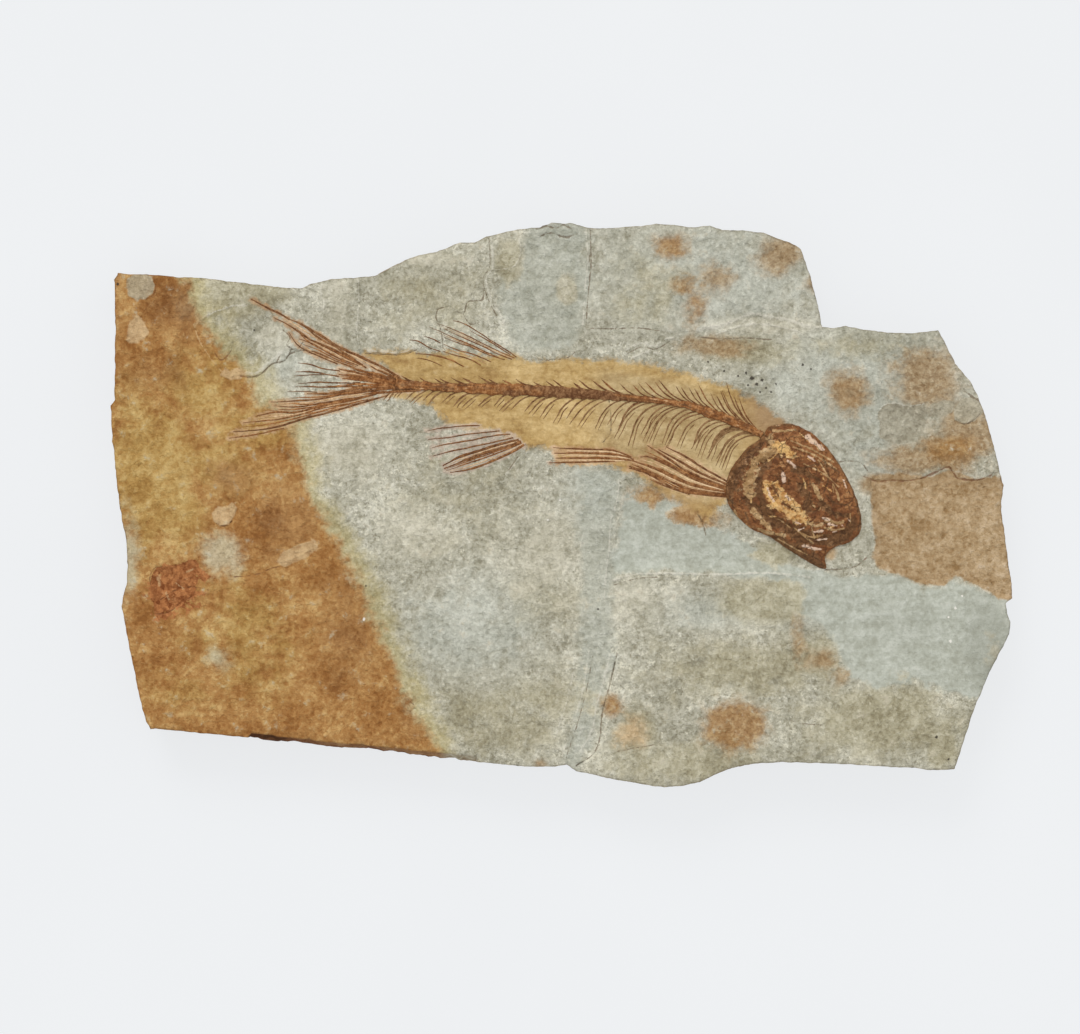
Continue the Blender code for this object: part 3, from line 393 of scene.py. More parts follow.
DORSAL_RAYS = [
    ([(-18.0, 30.6), (-16.4, 30.2), (-14.2, 29.0), (-11.5, 27.2), (-9.2, 25.8), (-7.5, 24.6)], 0.17, 0.3),
    ([(-15.2, 29.0), (-12.9, 27.7), (-10.6, 26.3), (-8.5, 25.0)], 0.15, 0.35),
    ([(-20.6, 30.2), (-17.6, 29.0), (-15.2, 27.9), (-12.4, 26.5), (-9.6, 25.2), (-7.8, 24.4)], 0.15, 0.3),
    ([(-19.6, 29.3), (-16.2, 27.7), (-13.4, 26.5), (-10.3, 25.0), (-8.2, 24.2)], 0.15, 0.35),
    ([(-22.0, 29.6), (-19.2, 28.4), (-16.6, 27.2), (-13.8, 26.0), (-10.8, 24.6), (-9.4, 24.2)], 0.15, 0.3),
    ([(-19.6, 27.9), (-17.1, 26.9), (-15.2, 26.3), (-12.7, 25.2), (-10.1, 24.3)], 0.14, 0.35),
    ([(-19.6, 26.7), (-17.1, 25.7), (-14.3, 24.9), (-11.7, 23.8)], 0.15, 0.3),
    ([(-19.7, 25.5), (-17.6, 24.9), (-15.2, 24.2), (-13.4, 23.2)], 0.17, 0.4),
    ([(-24.3, 25.2), (-21.3, 24.9), (-18.5, 24.1), (-16.2, 23.0)], 0.18, 0.35),
    ([(-25.3, 27.4), (-23.9, 27.2), (-22.0, 26.2), (-20.1, 25.5)], 0.15, 0.2),
    ([(-24.1, 24.4), (-22.2, 24.1), (-19.9, 23.2)], 0.13, 0.35),
    ([(-22.9, 28.1), (-21.5, 27.6), (-20.1, 26.9)], 0.13, 0.2),
]
ANAL_RAYS = [
    ([(-22.5, 12.3), (-19.7, 12.8), (-16.6, 13.1), (-13.6, 13.2)], 0.14, 0.2),
    ([(-22.2, 10.9), (-19.0, 11.2), (-15.2, 11.8), (-10.3, 12.3)], 0.15, 0.25),
    ([(-21.5, 9.5), (-19.0, 10.1), (-15.2, 10.7), (-12.0, 11.4), (-8.5, 11.8)], 0.16, 0.25),
    ([(-21.4, 8.1), (-19.0, 8.8), (-15.2, 9.6), (-11.5, 10.4), (-8.0, 11.2)], 0.19, 0.2),
    ([(-19.7, 6.5), (-17.1, 7.9), (-13.8, 9.0), (-10.3, 10.1), (-7.1, 10.8)], 0.34, 0.25),
    ([(-19.5, 6.0), (-16.2, 7.4), (-12.5, 8.7), (-9.0, 9.8), (-6.7, 10.5)], 0.34, 0.3),
    ([(-19.2, 5.7), (-16.0, 6.8), (-12.6, 7.9), (-9.2, 9.2), (-6.6, 10.3)], 0.18, 0.5),
    ([(-18.5, 5.4), (-15.0, 6.0), (-11.5, 7.3), (-8.0, 8.9), (-6.2, 10.0)], 0.28, 0.35),
]
PELVIC_RAYS = [
    ([(-1.4, 9.5), (3.1, 9.3), (8.2, 9.1), (11.6, 7.9)], 0.14, 0.4),
    ([(-1.2, 8.6), (4.7, 8.6), (9.7, 8.3), (12.0, 7.6)], 0.2, 0.7),
    ([(-0.9, 7.8), (6.4, 7.8), (12.0, 7.5)], 0.2, 0.75),
    ([(-2.1, 7.0), (3.1, 7.1), (8.9, 7.3)], 0.15, 0.5),
]
PECTORAL_RAYS = [
    ([(17.5, 9.6), (20.6, 8.0), (23.6, 6.1), (28.0, 3.7)], 0.18, 0.3),
    ([(16.1, 9.2), (19.4, 7.4), (22.9, 5.4), (28.0, 3.2)], 0.2, 0.45),
    ([(14.3, 9.9), (18.0, 7.5), (21.7, 5.2), (28.0, 2.8)], 0.2, 0.55),
    ([(13.1, 8.0), (14.7, 8.0), (18.2, 6.4), (22.2, 4.3), (27.9, 2.4)], 0.24, 0.6),
    ([(11.7, 7.4), (16.1, 5.9), (19.4, 4.3), (22.9, 3.1), (27.9, 2.1)], 0.3, 0.7),
    ([(11.7, 6.8), (14.3, 5.7), (18.0, 4.0), (21.7, 2.5), (27.9, 1.8)], 0.22, 0.6),
    ([(11.2, 6.1), (14.0, 5.4), (17.1, 3.6), (20.6, 2.2), (27.6, 1.4)], 0.24, 0.65),
    ([(14.7, 4.3), (17.5, 3.1), (21.3, 1.8)], 0.15, 0.6),
    ([(11.2, 6.5), (12.4, 5.9), (13.3, 5.6)], 0.2, 0.4),
]

# Finer rays midway between two of a fin's rays, by their numbers, with half width and tone
BETWEEN_RAYS = {
    "tail_fin": [
        (1, 2, 0.16, 1.7), (2, 3, 0.14, 0.7), (3, 4, 0.14, 1.6), (4, 5, 0.12, 0.6), (5, 6, 0.12, 1.5),
        (6, 7, 0.14, 0.8), (8, 9, 0.14, 1.0), (9, 10, 0.16, 1.6), (10, 11, 0.14, 0.7), (11, 12, 0.16, 1.7),
        (12, 13, 0.14, 0.8), (14, 15, 0.2, 0.7), (15, 16, 0.2, 1.5), (17, 18, 0.2, 0.6),
        (16, 17, 0.22, 0.8),
        (14, 19, 0.16, 1.2), (8, 17, 0.18, 0.9),
    ],
    "dorsal_fin": [(2, 3, 0.1, 1.6), (4, 5, 0.1, 1.5), (6, 7, 0.1, 1.5)],
    "anal_fin": [(4, 5, 0.1, 1.8), (5, 6, 0.14, 0.5), (6, 7, 0.1, 1.8)],
    "pelvic_fin": [(0, 1, 0.16, 1.9), (1, 2, 0.12, 1.8), (2, 3, 0.16, 1.9)],
    "pectoral_fin": [
        (0, 1, 0.14, 1.8), (1, 2, 0.14, 1.7), (2, 3, 0.14, 0.8), (3, 4, 0.16, 1.9), (4, 5, 0.14, 1.7),
        (5, 6, 0.14, 0.7), (6, 7, 0.12, 1.7),
    ],
}

# The skull: its outline, and strokes of colour and relief across it; the white strokes are painted
# highlights
SKULL_OUTLINE = [
    (34.3, 13.0), (37.8, 13.5), (40.6, 12.5), (42.9, 10.8), (45.1, 8.3), (46.9, 5.5), (48.3, 2.8),
    (49.3, 0.0), (49.8, -2.7), (49.4, -4.8), (47.6, -6.3), (45.4, -7.0), (43.8, -8.5),
    (43.9, -10.6), (41.6, -9.8), (38.0, -7.6), (34.6, -5.3), (32.0, -4.2), (30.0, -2.7),
    (28.2, -0.7), (27.3, 1.8), (27.5, 4.2), (28.4, 6.3), (30.6, 9.2), (33.0, 11.0),
]
SKULL_CELL = 0.12
SKULL_EDGE_POINTS = 420
SKULL_HEIGHT = 2.2
SKULL_RIM_HEIGHT = 0.3
SKULL_SLOPE = 7.0
FINE_STROKES = 60
# Kind, half width, how far it rises, points
SKULL_STROKES = [(kind, wide, lift, mm(*line)) for kind, wide, lift, *line in (
    ("red", 1.5, 0.1, (785, 438), (808, 446), (828, 461), (844, 482), (851, 503)),
    ("dark", 1.3, 0.3, (760, 441), (749, 454), (740, 467), (734, 479), (729, 489), (728, 498)),
    ("dark", 0.75, -0.3, (788, 453), (774, 456), (765, 463), (760, 473), (758, 485), (759, 496), (765, 509),
     (777, 519), (790, 526)),
    ("pale", 0.85, 0.15, (772, 451), (765, 453), (758, 459), (752, 469), (748, 480), (747, 490),
     (749, 495)),
    ("red", 0.7, 0.2, (725, 499), (729, 509), (736, 519)),
    ("dark", 0.95, -0.25, (746, 499), (758, 509), (774, 522), (792, 531), (800, 544)),
    ("red", 0.8, 0.35, (733, 501), (741, 513), (752, 524), (766, 532), (783, 535)),
    ("pale", 0.4, 0.1, (752, 510), (760, 520), (769, 528)),
    ("pale", 0.24, 0.08, (757, 528), (770, 533), (784, 535)),
    ("pale", 0.2, 0.05, (734, 511), (738, 520)),
    ("dark", 1.1, 0.0, (774, 540), (790, 548), (805, 557), (820, 566)),
    ("dark", 1.3, -0.3, (795, 528), (810, 536), (828, 539), (844, 534), (851, 523)),
    ("dark", 0.8, -0.25, (800, 486), (808, 500), (804, 513)),
    ("dark", 0.6, -0.2, (820, 503), (833, 513), (846, 516)),
    ("dark", 0.5, -0.15, (792, 470), (806, 474), (818, 480)),
    ("gold", 0.85, 0.2, (766, 484), (769, 494), (774, 503), (785, 512), (796, 518), (803, 521)),
    ("gold", 0.55, 0.15, (776, 484), (782, 495), (790, 503), (798, 509), (803, 516)),
    ("dark", 0.22, -0.2, (772, 486), (777, 496), (785, 505), (796, 512)),
    ("white", 0.36, 0.15, (782, 473), (783, 482)),
    ("white", 0.22, 0.1, (767, 488), (769, 495), (773, 501)),
    ("white", 0.16, 0.1, (785, 496), (789, 500)),
    ("gold", 1.0, 0.1, (776, 446), (783, 450)),
    ("gold", 0.85, 0.05, (782, 448), (788, 453)),
    ("bright", 0.75, 0.0, (777, 446), (786, 451)),
    ("bright", 0.35, 0.0, (766, 486), (769, 496), (775, 505)),
    ("pale", 0.65, 0.3, (770, 439), (771, 441)),
    ("pale", 0.3, 0.1, (768, 447), (775, 449)),
    ("dark", 0.4, -0.15, (762, 434), (766, 440), (768, 446)),
    # A painted shadow line round the skull's upper and right rim
    ("dark", 0.34, -0.1, (769, 429), (779, 425), (790, 424), (801, 425), (812, 430), (822, 439), (833, 454),
     (842, 467), (849, 481), (855, 496), (859, 510), (860, 522), (858, 531)),
    ("pale", 0.2, 0.08, (773, 431), (784, 431), (795, 430)),
    ("white", 0.45, 0.1, (807, 437), (812, 441)),
    ("white", 0.3, 0.1, (815, 443), (823, 450)),
    ("pale", 0.12, 0.05, (790, 441), (810, 449), (833, 462)),
    ("pale", 0.12, 0.05, (792, 447), (815, 456), (836, 469)),
    ("pale", 0.12, 0.05, (803, 464), (823, 474), (838, 487)),
    ("white", 0.24, 0.1, (787, 461), (794, 466)),
    ("white", 0.22, 0.1, (808, 457), (814, 461)),
    ("pale", 0.34, 0.12, (812, 483), (815, 491), (820, 499)),
    ("pale", 0.2, 0.08, (832, 484), (836, 492), (838, 500)),
    ("white", 0.14, 0.05, (843, 480), (846, 488)),
    ("dark", 0.18, -0.15, (823, 459), (828, 477), (823, 492)),
    ("dark", 0.2, -0.15, (797, 467), (808, 477), (810, 490)),
    ("dark", 0.18, -0.12, (785, 463), (797, 469), (820, 464), (838, 472)),
    ("dark", 0.16, -0.12, (826, 496), (834, 503), (845, 505), (852, 500)),
    ("dark", 0.17, -0.12, (808, 506), (811, 502), (816, 502), (818, 507), (815, 511), (810, 511),
     (808, 506)),
    ("pale", 0.2, 0.05, (813, 506), (814, 507)),
    ("white", 0.24, 0.12, (828, 524), (836, 526)),
    ("white", 0.24, 0.12, (813, 532), (822, 531)),
    ("white", 0.18, 0.1, (822, 518), (828, 520)),
    ("white", 0.18, 0.1, (832, 532), (836, 531)),
    ("white", 0.18, 0.1, (798, 530), (803, 528)),
    ("white", 0.14, 0.1, (841, 525), (843, 527)),
    ("white", 0.14, 0.1, (847, 519), (849, 521)),
    ("white", 0.16, 0.08, (815, 540), (826, 539)),
    ("white", 0.14, 0.08, (795, 522), (800, 524)),
    ("white", 0.2, 0.1, (803, 546), (812, 548), (820, 549)),
    ("pale", 0.3, 0.05, (826, 520), (834, 523), (842, 522)),
    ("pale", 0.26, 0.05, (824, 528), (834, 530), (843, 528)),
    ("pale", 0.24, 0.08, (806, 522), (814, 526), (820, 524)),
    ("pale", 0.2, 0.08, (802, 534), (812, 537), (822, 535)),
    ("red", 0.5, 0.1, (834, 470), (842, 477)),
    ("red", 0.5, 0.1, (846, 520), (852, 512)),
)]


def catmull(points, share):
    """The point a share (0 to 1) of the way along a smooth curve through flat points."""
    spans = len(points) - 1
    place = min(max(share, 0.0), 1.0) * spans
    i = min(int(place), spans - 1)
    t = place - i
    before, start, end, after = (Vector(points[min(max(k, 0), spans)]) for k in range(i - 1, i + 3))
    return 0.5 * (
        2 * start
        + (end - before) * t
        + (2 * before - 5 * start + 4 * end - after) * t**2
        + (3 * start - before - 3 * end + after) * t**3
    )


def smooth_line(points, steps=6):
    """A smooth curve through flat points, as many short lines."""
    count = (len(points) - 1) * steps
    return [tuple(catmull(points, i / count)) for i in range(count + 1)]


def between(values, share):
    """The value a share of the way along evenly spaced values."""
    place = min(max(share, 0.0), 1.0) * (len(values) - 1)
    i = min(int(place), len(values) - 2)
    return values[i] + (values[i + 1] - values[i]) * (place - i)


def smooth_step(values, low, high):
    """0 below low and 1 above high, smooth between."""
    t = np.clip((values - low) / (high - low), 0.0, 1.0)
    return t * t * (3 - 2 * t)


def line_distance(spots, line):
    """Distance from each of an array of flat points to a line of points."""
    nearest = np.full(len(spots), np.inf)
    for a, b in zip(line, line[1:]):
        start, span = np.array(a), np.subtract(b, a)
        share = np.clip((spots - start) @ span / max(span @ span, 1e-12), 0.0, 1.0)
        nearest = np.minimum(nearest, np.linalg.norm(spots - start - share[:, None] * span, axis=1))
    return nearest


def inside_by(spots, outline):
    """How far each flat point lies inside an outline; negative outside."""
    closed = list(outline) + [outline[0]]
    within = np.zeros(len(spots), bool)
    for (ax, ay), (bx, by) in zip(closed, closed[1:]):
        crosses = (ay > spots[:, 1]) != (by > spots[:, 1])
        rise = by - ay if by != ay else 1e-12
        within ^= crosses & (spots[:, 0] < (bx - ax) * (spots[:, 1] - ay) / rise + ax)
    return np.where(within, 1.0, -1.0) * line_distance(spots, closed)


def lattice_angles(i, j, seed):
    """An angle for each lattice corner, shuffled by whole-number arithmetic."""
    mixed = (i * 374761393 + j * 668265263 + seed * 974634777) & 0xFFFFFFFF
    mixed = ((mixed ^ (mixed >> 13)) * 1274126177) & 0xFFFFFFFF
    return (mixed ^ (mixed >> 16)) / 0x100000000 * 2 * math.pi


def clouds(spots, size, octaves, seed):
    """Cloudy noise from about -1 to 1 at flat points, with features of a size in millimetres."""
    spots = np.asarray(spots, float)
    total, strength = np.zeros(len(spots)), 1.0
    for octave in range(octaves):
        place = spots / size * 2.13**octave + seed * 7.31 + octave * 3.7
        corner = np.floor(place)
        offset = place - corner
        ease = offset**3 * (offset * (offset * 6 - 15) + 10)
        corner = corner.astype(np.int64)
        parts = []
        for di, dj in ((0, 0), (1, 0), (0, 1), (1, 1)):
            angle = lattice_angles(corner[:, 0] + di, corner[:, 1] + dj, seed * 13 + octave)
            parts.append(np.cos(angle) * (offset[:, 0] - di) + np.sin(angle) * (offset[:, 1] - dj))
        low = parts[0] + (parts[1] - parts[0]) * ease[:, 0]
        high = parts[2] + (parts[3] - parts[2]) * ease[:, 0]
        total += strength * 1.3 * (low + (high - low) * ease[:, 1])
        strength *= 0.56
    return total


def heading(degrees):
    """A flat unit vector in a direction."""
    return Vector((math.cos(math.radians(degrees)), math.sin(math.radians(degrees))))


def crosswise(line, i):
    """The flat unit vector across a line of points at its point i."""
    along = (line[min(i + 1, len(line) - 1)] - line[max(i - 1, 0)]).normalized()
    return Vector((-along.y, along.x))


def lifted(places, heights):
    """Corners from flat places and their heights."""
    return [(x, y, z) for (x, y), z in zip(places.tolist(), heights.tolist())]


def wall(upper, lower):
    """Four-sided faces between two closed rings of corner numbers."""
    count = len(upper)
    return [(upper[i], lower[i], lower[(i + 1) % count], upper[(i + 1) % count]) for i in range(count)]


def put(name, data):
    """A new object in the scene."""
    thing = bpy.data.objects.new(name, data)
    bpy.context.scene.collection.objects.link(thing)
    return thing


def make_object(name, corners, faces, attributes, finish, stands_for):
    """A piece from corners in millimetres, with its masks, riding on the frame's body."""
    mesh = bpy.data.meshes.new(name)
    mesh.from_pydata([[value * MM for value in corner] for corner in corners], [], faces)
    for key, values in attributes.items():
        layer = mesh.attributes.new(key, "FLOAT", "POINT")
        layer.data.foreach_set("value", np.asarray(values, np.float32))
    shape = bmesh.new()
    shape.from_mesh(mesh)
    bmesh.ops.recalc_face_normals(shape, faces=shape.faces)
    shape.to_mesh(mesh)
    shape.free()
    mesh.shade_smooth()
    mesh.materials.append(finish)
    piece = put(name, mesh)
    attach(piece, "root")
    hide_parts(stands_for)


class Finish:
    """Short calls for building one material's node tree."""

    def __init__(self, name):
        self.material = bpy.data.materials.new(name)
        self.material.use_nodes = True
        self.tree = self.material.node_tree
        self.shader = self.tree.nodes["Principled BSDF"]
        self.place = self.tree.nodes.new("ShaderNodeTexCoord").outputs["Object"]

    def add(self, kind, inputs, output=0, **settings):
        """A new node, with its inputs fed; gives one of its outputs."""
        node = self.tree.nodes.new(kind)
        for key, value in settings.items():
            setattr(node, key, value)
        for key, value in inputs.items():
            self.feed(node.inputs[key], value)
        return node.outputs[output]

    def feed(self, socket, value):
        """Joins a socket to another, or sets its value."""
        if isinstance(value, bpy.types.NodeSocket):
            self.tree.links.new(value, socket)
        elif isinstance(value, tuple) and len(value) == 3 and socket.type == "RGBA":
            socket.default_value = (*value, 1.0)
        else:
            socket.default_value = value

    def mask(self, name):
        """The values stored on the mesh under a name."""
        return self.add("ShaderNodeAttribute", {}, "Fac", attribute_name=name)

    def clouds(self, size_mm, detail=4.0, rough=0.55, stretch=(1.0, 1.0, 1.0), shift=0.0):
        """Noise around 0.5 with features of about size_mm."""
        moved = {"Vector": self.place, "Scale": stretch, "Location": (shift, -shift, shift)}
        scaled = self.add("ShaderNodeMapping", moved)
        settings = {"Vector": scaled, "Scale": 1.0 / (size_mm * MM), "Detail": detail, "Roughness": rough}
        return self.add("ShaderNodeTexNoise", settings, "Fac")

    def bent(self, size_mm):
        """The place, pushed about by noise in step with cells of about size_mm."""
        noise = {"Vector": self.place, "Scale": 1.4 / (size_mm * MM), "Detail": 3.0}
        bend = self.add("ShaderNodeTexNoise", noise, "Color")
        inputs = {"Fac": 0.0007 * size_mm, "Color1": self.place, "Color2": bend}
        return self.add("ShaderNodeMixRGB", inputs, blend_type="ADD")

    def cracks(self, size_mm):
        """Distance to the nearest edge of a net of ragged cells of about size_mm."""
        settings = {"Vector": self.bent(size_mm), "Scale": 1.0 / (size_mm * MM)}
        return self.add("ShaderNodeTexVoronoi", settings, "Distance", feature="DISTANCE_TO_EDGE")

    def cells(self, size_mm, shift=0.0):
        """A value around 0.5 for each of many ragged cells of about size_mm."""
        moved = {"Vector": self.bent(size_mm), "Location": (shift, shift, 0.0)}
        settings = {"Vector": self.add("ShaderNodeMapping", moved), "Scale": 1.0 / (size_mm * MM)}
        return self.add("ShaderNodeTexVoronoi", settings, "Color")

    def sum(self, *values):
        """The sum of numbers and sockets."""
        total = values[0]
        for value in values[1:]:
            total = self.add("ShaderNodeMath", {0: total, 1: value}, operation="ADD")
        return total

    def times(self, first, second):
        """The product of two numbers or sockets."""
        return self.add("ShaderNodeMath", {0: first, 1: second}, operation="MULTIPLY")

    def weigh(self, *pairs):
        """The sum of values, each followed by its weight."""
        return self.sum(*(self.times(value, weight) for value, weight in zip(pairs[::2], pairs[1::2])))

    def spread(self, value, amount):
        """Noise around 0.5 turned into noise around 0, made stronger by the amount."""
        return self.times(self.sum(value, -0.5), amount)

    def step(self, value, low, high):
        """0 below low and 1 above high, smooth between; low may be the larger."""
        limits = {"Value": value, "From Min": low, "From Max": high}
        return self.add("ShaderNodeMapRange", limits, interpolation_type="SMOOTHSTEP")

    def ragged(self, kind, low, high, *noises):
        """A step over a mask whose edge is broken up by noises, each followed by its amount."""
        broken = [self.spread(noise, amount) for noise, amount in zip(noises[::2], noises[1::2])]
        return self.step(self.sum(self.mask(kind), *broken), low, high)

    def lay(self, reach, amount, base, tint):
        """A tint laid over a base where it reaches, never by more than an amount."""
        return self.mix(self.times(reach, amount), base, tint)

    def mix(self, share, first, second, blend="MIX"):
        """Two colours mixed, or blended in another way."""
        inputs = {0: share, 6: first, 7: second}
        return self.add("ShaderNodeMix", inputs, 2, data_type="RGBA", blend_type=blend)

    def ramp(self, value, *stops):
        """Colours along a value; a stop is its place, then red, green and blue."""
        colour = self.add("ShaderNodeValToRGB", {"Fac": value})
        elements = colour.node.color_ramp.elements
        for i, (place, *tint) in enumerate(sorted(stops)):
            element = elements[i] if i < 2 else elements.new(place)
            element.position = place
            element.color = (*tint, 1.0)
        return colour

    def finish(self, colour, roughness, bumps=(), **values):
        """Joins the colour, roughness and bumps (height, depth in mm) to the shader."""
        self.feed(self.shader.inputs["Base Color"], colour)
        self.feed(self.shader.inputs["Roughness"], roughness)
        normal = None
        for height, depth in bumps:
            inputs = {"Height": height, "Distance": depth * MM}
            if normal:
                inputs["Normal"] = normal
            normal = self.add("ShaderNodeBump", inputs)
        if normal:
            self.feed(self.shader.inputs["Normal"], normal)
        for key, value in values.items():
            self.feed(self.shader.inputs[key.replace("_", " ")], value)
        return self.material


def stone_finish():
    """The stone's colours and grain, laid over each other as its masks say."""
    f = Finish("split_stone")
    broad = f.clouds(11.0, 5.0, 0.6)
    medium = f.clouds(2.2, 5.0, 0.62, shift=0.31)
    grain = f.clouds(0.75, 4.0, 0.68, shift=0.12)
    dust = f.clouds(0.3, 2.0, 0.6, shift=0.77)
    wander = f.clouds(1.3, 4.0, 0.65, shift=0.9)
    blotch = f.clouds(5.0, 6.0, 0.66, shift=1.7)
    fine = f.weigh(grain, 0.7, dust, 0.3)

    # Grey stone, mottled beige and olive, with pale and dark grains
    chips, crumbs = f.cells(0.62, 0.3), f.cells(0.34, 1.9)
    mottle = f.weigh(broad, 0.3, medium, 0.3, grain, 0.24, chips, 0.09, crumbs, 0.07)
    grey = f.ramp(mottle, (0.39, 0.30, 0.28, 0.20), (0.46, 0.45, 0.425, 0.325), (0.53, 0.585, 0.56, 0.45),
                  (0.61, 0.82, 0.79, 0.66))
    coarse = f.sum(f.times(f.step(f.mask("blue"), 0.08, 0.45), -0.88), 1.0)
    pale_grain = f.step(f.weigh(f.clouds(1.0, 4.0, 0.72, shift=5.2), 0.75, broad, 0.25), 0.545, 0.61)
    grey = f.lay(pale_grain, f.times(coarse, 0.7), grey, (0.86, 0.82, 0.66))
    dark_grain = f.step(f.weigh(f.clouds(0.6, 4.0, 0.74, shift=2.3), 0.8, blotch, 0.2), 0.445, 0.40)
    grey = f.lay(dark_grain, f.times(coarse, 0.6), grey, (0.24, 0.215, 0.14))

    def spot(base, kind, tint, amount, low=0.5, high=1.25):
        """The base with one kind of soft spot over it, and how far the spots reach."""
        here = f.mask(kind)
        reach = f.step(f.sum(here, f.spread(blotch, 1.5), f.spread(medium, 1.0), 0.45), low, high)
        reach = f.times(reach, f.step(here, 0.03, 0.22))
        return f.lay(reach, amount, base, tint), reach

    blue = f.ramp(mottle, (0.40, 0.37, 0.375, 0.31), (0.60, 0.65, 0.66, 0.57))
    colour, _ = spot(grey, "blue", blue, 0.75)
    olive = f.ramp(mottle, (0.39, 0.28, 0.24, 0.14), (0.5, 0.44, 0.395, 0.26), (0.60, 0.60, 0.555, 0.40))
    colour, olive_reach = spot(colour, "olive", olive, 0.85)
    pale = f.ramp(mottle, (0.40, 0.47, 0.435, 0.32), (0.58, 0.78, 0.735, 0.59))
    colour, _ = spot(colour, "pale", pale, 0.75)
    rust_value = f.weigh(medium, 0.4, grain, 0.45, chips, 0.15)
    rust = f.ramp(rust_value, (0.38, 0.25, 0.14, 0.052), (0.5, 0.39, 0.255, 0.125),
                  (0.62, 0.54, 0.405, 0.24))
    colour, rust_reach = spot(colour, "rust", rust, 0.86)
    orange = f.ramp(rust_value, (0.38, 0.27, 0.125, 0.033), (0.5, 0.385, 0.205, 0.07),
                    (0.62, 0.52, 0.33, 0.14))
    colour, orange_reach = spot(colour, "orange", orange, 0.88)

    # The orange-brown stain, with a yellow-olive fringe and paler and darker clouds in it
    edge = f.sum(f.mask("stain"), f.spread(blotch, 8.0), f.spread(wander, 3.0))
    fringe = f.step(edge, -4.4, 0.2)
    colour = f.lay(fringe, 0.75, colour, f.ramp(mottle, (0.40, 0.38, 0.31, 0.13), (0.60, 0.68, 0.58, 0.30)))
    cloudy = f.weigh(f.clouds(7.0, 6.0, 0.6, shift=3.1), 0.45, medium, 0.24, grain, 0.23, chips, 0.08)
    sienna = f.ramp(cloudy, (0.40, 0.28, 0.115, 0.03), (0.455, 0.37, 0.17, 0.05),
                    (0.52, 0.475, 0.25, 0.085), (0.60, 0.65, 0.41, 0.165))
    ochre = f.ramp(cloudy, (0.40, 0.35, 0.19, 0.048), (0.49, 0.505, 0.315, 0.10), (0.60, 0.68, 0.49, 0.20))
    stain, _ = spot(sienna, "ochre", ochre, 0.85)
    stain, _ = spot(stain, "shade", f.ramp(cloudy, (0.40, 0.20, 0.08, 0.024), (0.60, 0.48, 0.25, 0.09)),
                    0.8)
    worn = f.ramp(mottle, (0.40, 0.42, 0.375, 0.235), (0.58, 0.71, 0.66, 0.47))
    stain, _ = spot(stain, "pale", worn, 0.66)
    colour = f.mix(f.step(edge, -0.7, 2.1), colour, stain)
    shade = f.ramp(mottle, (0.40, 0.20, 0.165, 0.10), (0.60, 0.40, 0.34, 0.23))
    colour = f.lay(f.ragged("shade", 0.7, 1.2, blotch, 1.2), 0.4, colour, shade)
    tan = f.ramp(mottle, (0.40, 0.46, 0.29, 0.14), (0.60, 0.76, 0.55, 0.31))
    colour, _ = spot(colour, "tan", tan, 0.8)
    chip = f.ramp(mottle, (0.40, 0.36, 0.31, 0.205), (0.60, 0.64, 0.56, 0.40))
    colour = f.lay(f.ragged("chip", 0.2, 0.8, medium, 2.4), 0.8, colour, chip)
    scar = f.ramp(mottle, (0.40, 0.28, 0.245, 0.17), (0.60, 0.56, 0.51, 0.385))
    colour = f.lay(f.ragged("scar", 0.2, 0.8, medium, 2.4), 0.82, colour, scar)
    red_value = f.weigh(wander, 0.45, grain, 0.35, chips, 0.2)
    red = f.ramp(red_value, (0.40, 0.21, 0.06, 0.018), (0.60, 0.52, 0.21, 0.075))
    red_reach = f.times(f.ragged("red", 0.42, 0.62, wander, 3.0), f.step(f.mask("red"), 0.05, 0.3))
    colour = f.lay(red_reach, 0.92, colour, red)

    # Smoothed and filled areas, and the brown block
    strokes = f.clouds(1.5, 4.0, 0.62, stretch=(0.14, 1.0, 1.0), shift=0.5)
    smooth_value = f.weigh(strokes, 0.2, grain, 0.42, medium, 0.38)
    filler = f.ramp(smooth_value, (0.40, 0.365, 0.37, 0.30), (0.5, 0.465, 0.48, 0.405),
                    (0.60, 0.58, 0.595, 0.52))
    open_to_filler = f.times(f.step(f.sum(rust_reach, orange_reach), 0.7, 0.2),
                             f.step(olive_reach, 1.0, 0.4))
    putty_reach = f.ragged("putty", -0.5, 0.6, blotch, 5.0, wander, 2.0)
    colour = f.mix(f.times(f.times(putty_reach, open_to_filler), 0.95), colour, filler)
    dull = f.times(putty_reach, f.step(f.mask("shade"), 0.2, 1.0))
    colour = f.lay(dull, 0.4, colour, (0.30, 0.305, 0.25))
    smooth_reach = f.ragged("smooth", -0.8, 1.2, blotch, 6.0, wander, 3.0)
    colour = f.mix(f.times(f.times(smooth_reach, open_to_filler), 0.62), colour, filler)
    brown_value = f.weigh(medium, 0.32, grain, 0.34, broad, 0.24, chips, 0.1)
    brown = f.ramp(brown_value, (0.39, 0.32, 0.195, 0.085), (0.49, 0.475, 0.33, 0.18),
                   (0.60, 0.65, 0.49, 0.31))
    # Painted shade: the brown block lies lower than the stone round it and is darker towards its edge
    brown = f.lay(f.step(f.mask("brown"), 4.0, -0.5), 0.3, brown,
                  f.mix(1.0, brown, (0.62, 0.55, 0.48), "MULTIPLY"))
    colour = f.mix(f.ragged("brown", -0.25, 0.35, wander, 1.4), colour, brown)

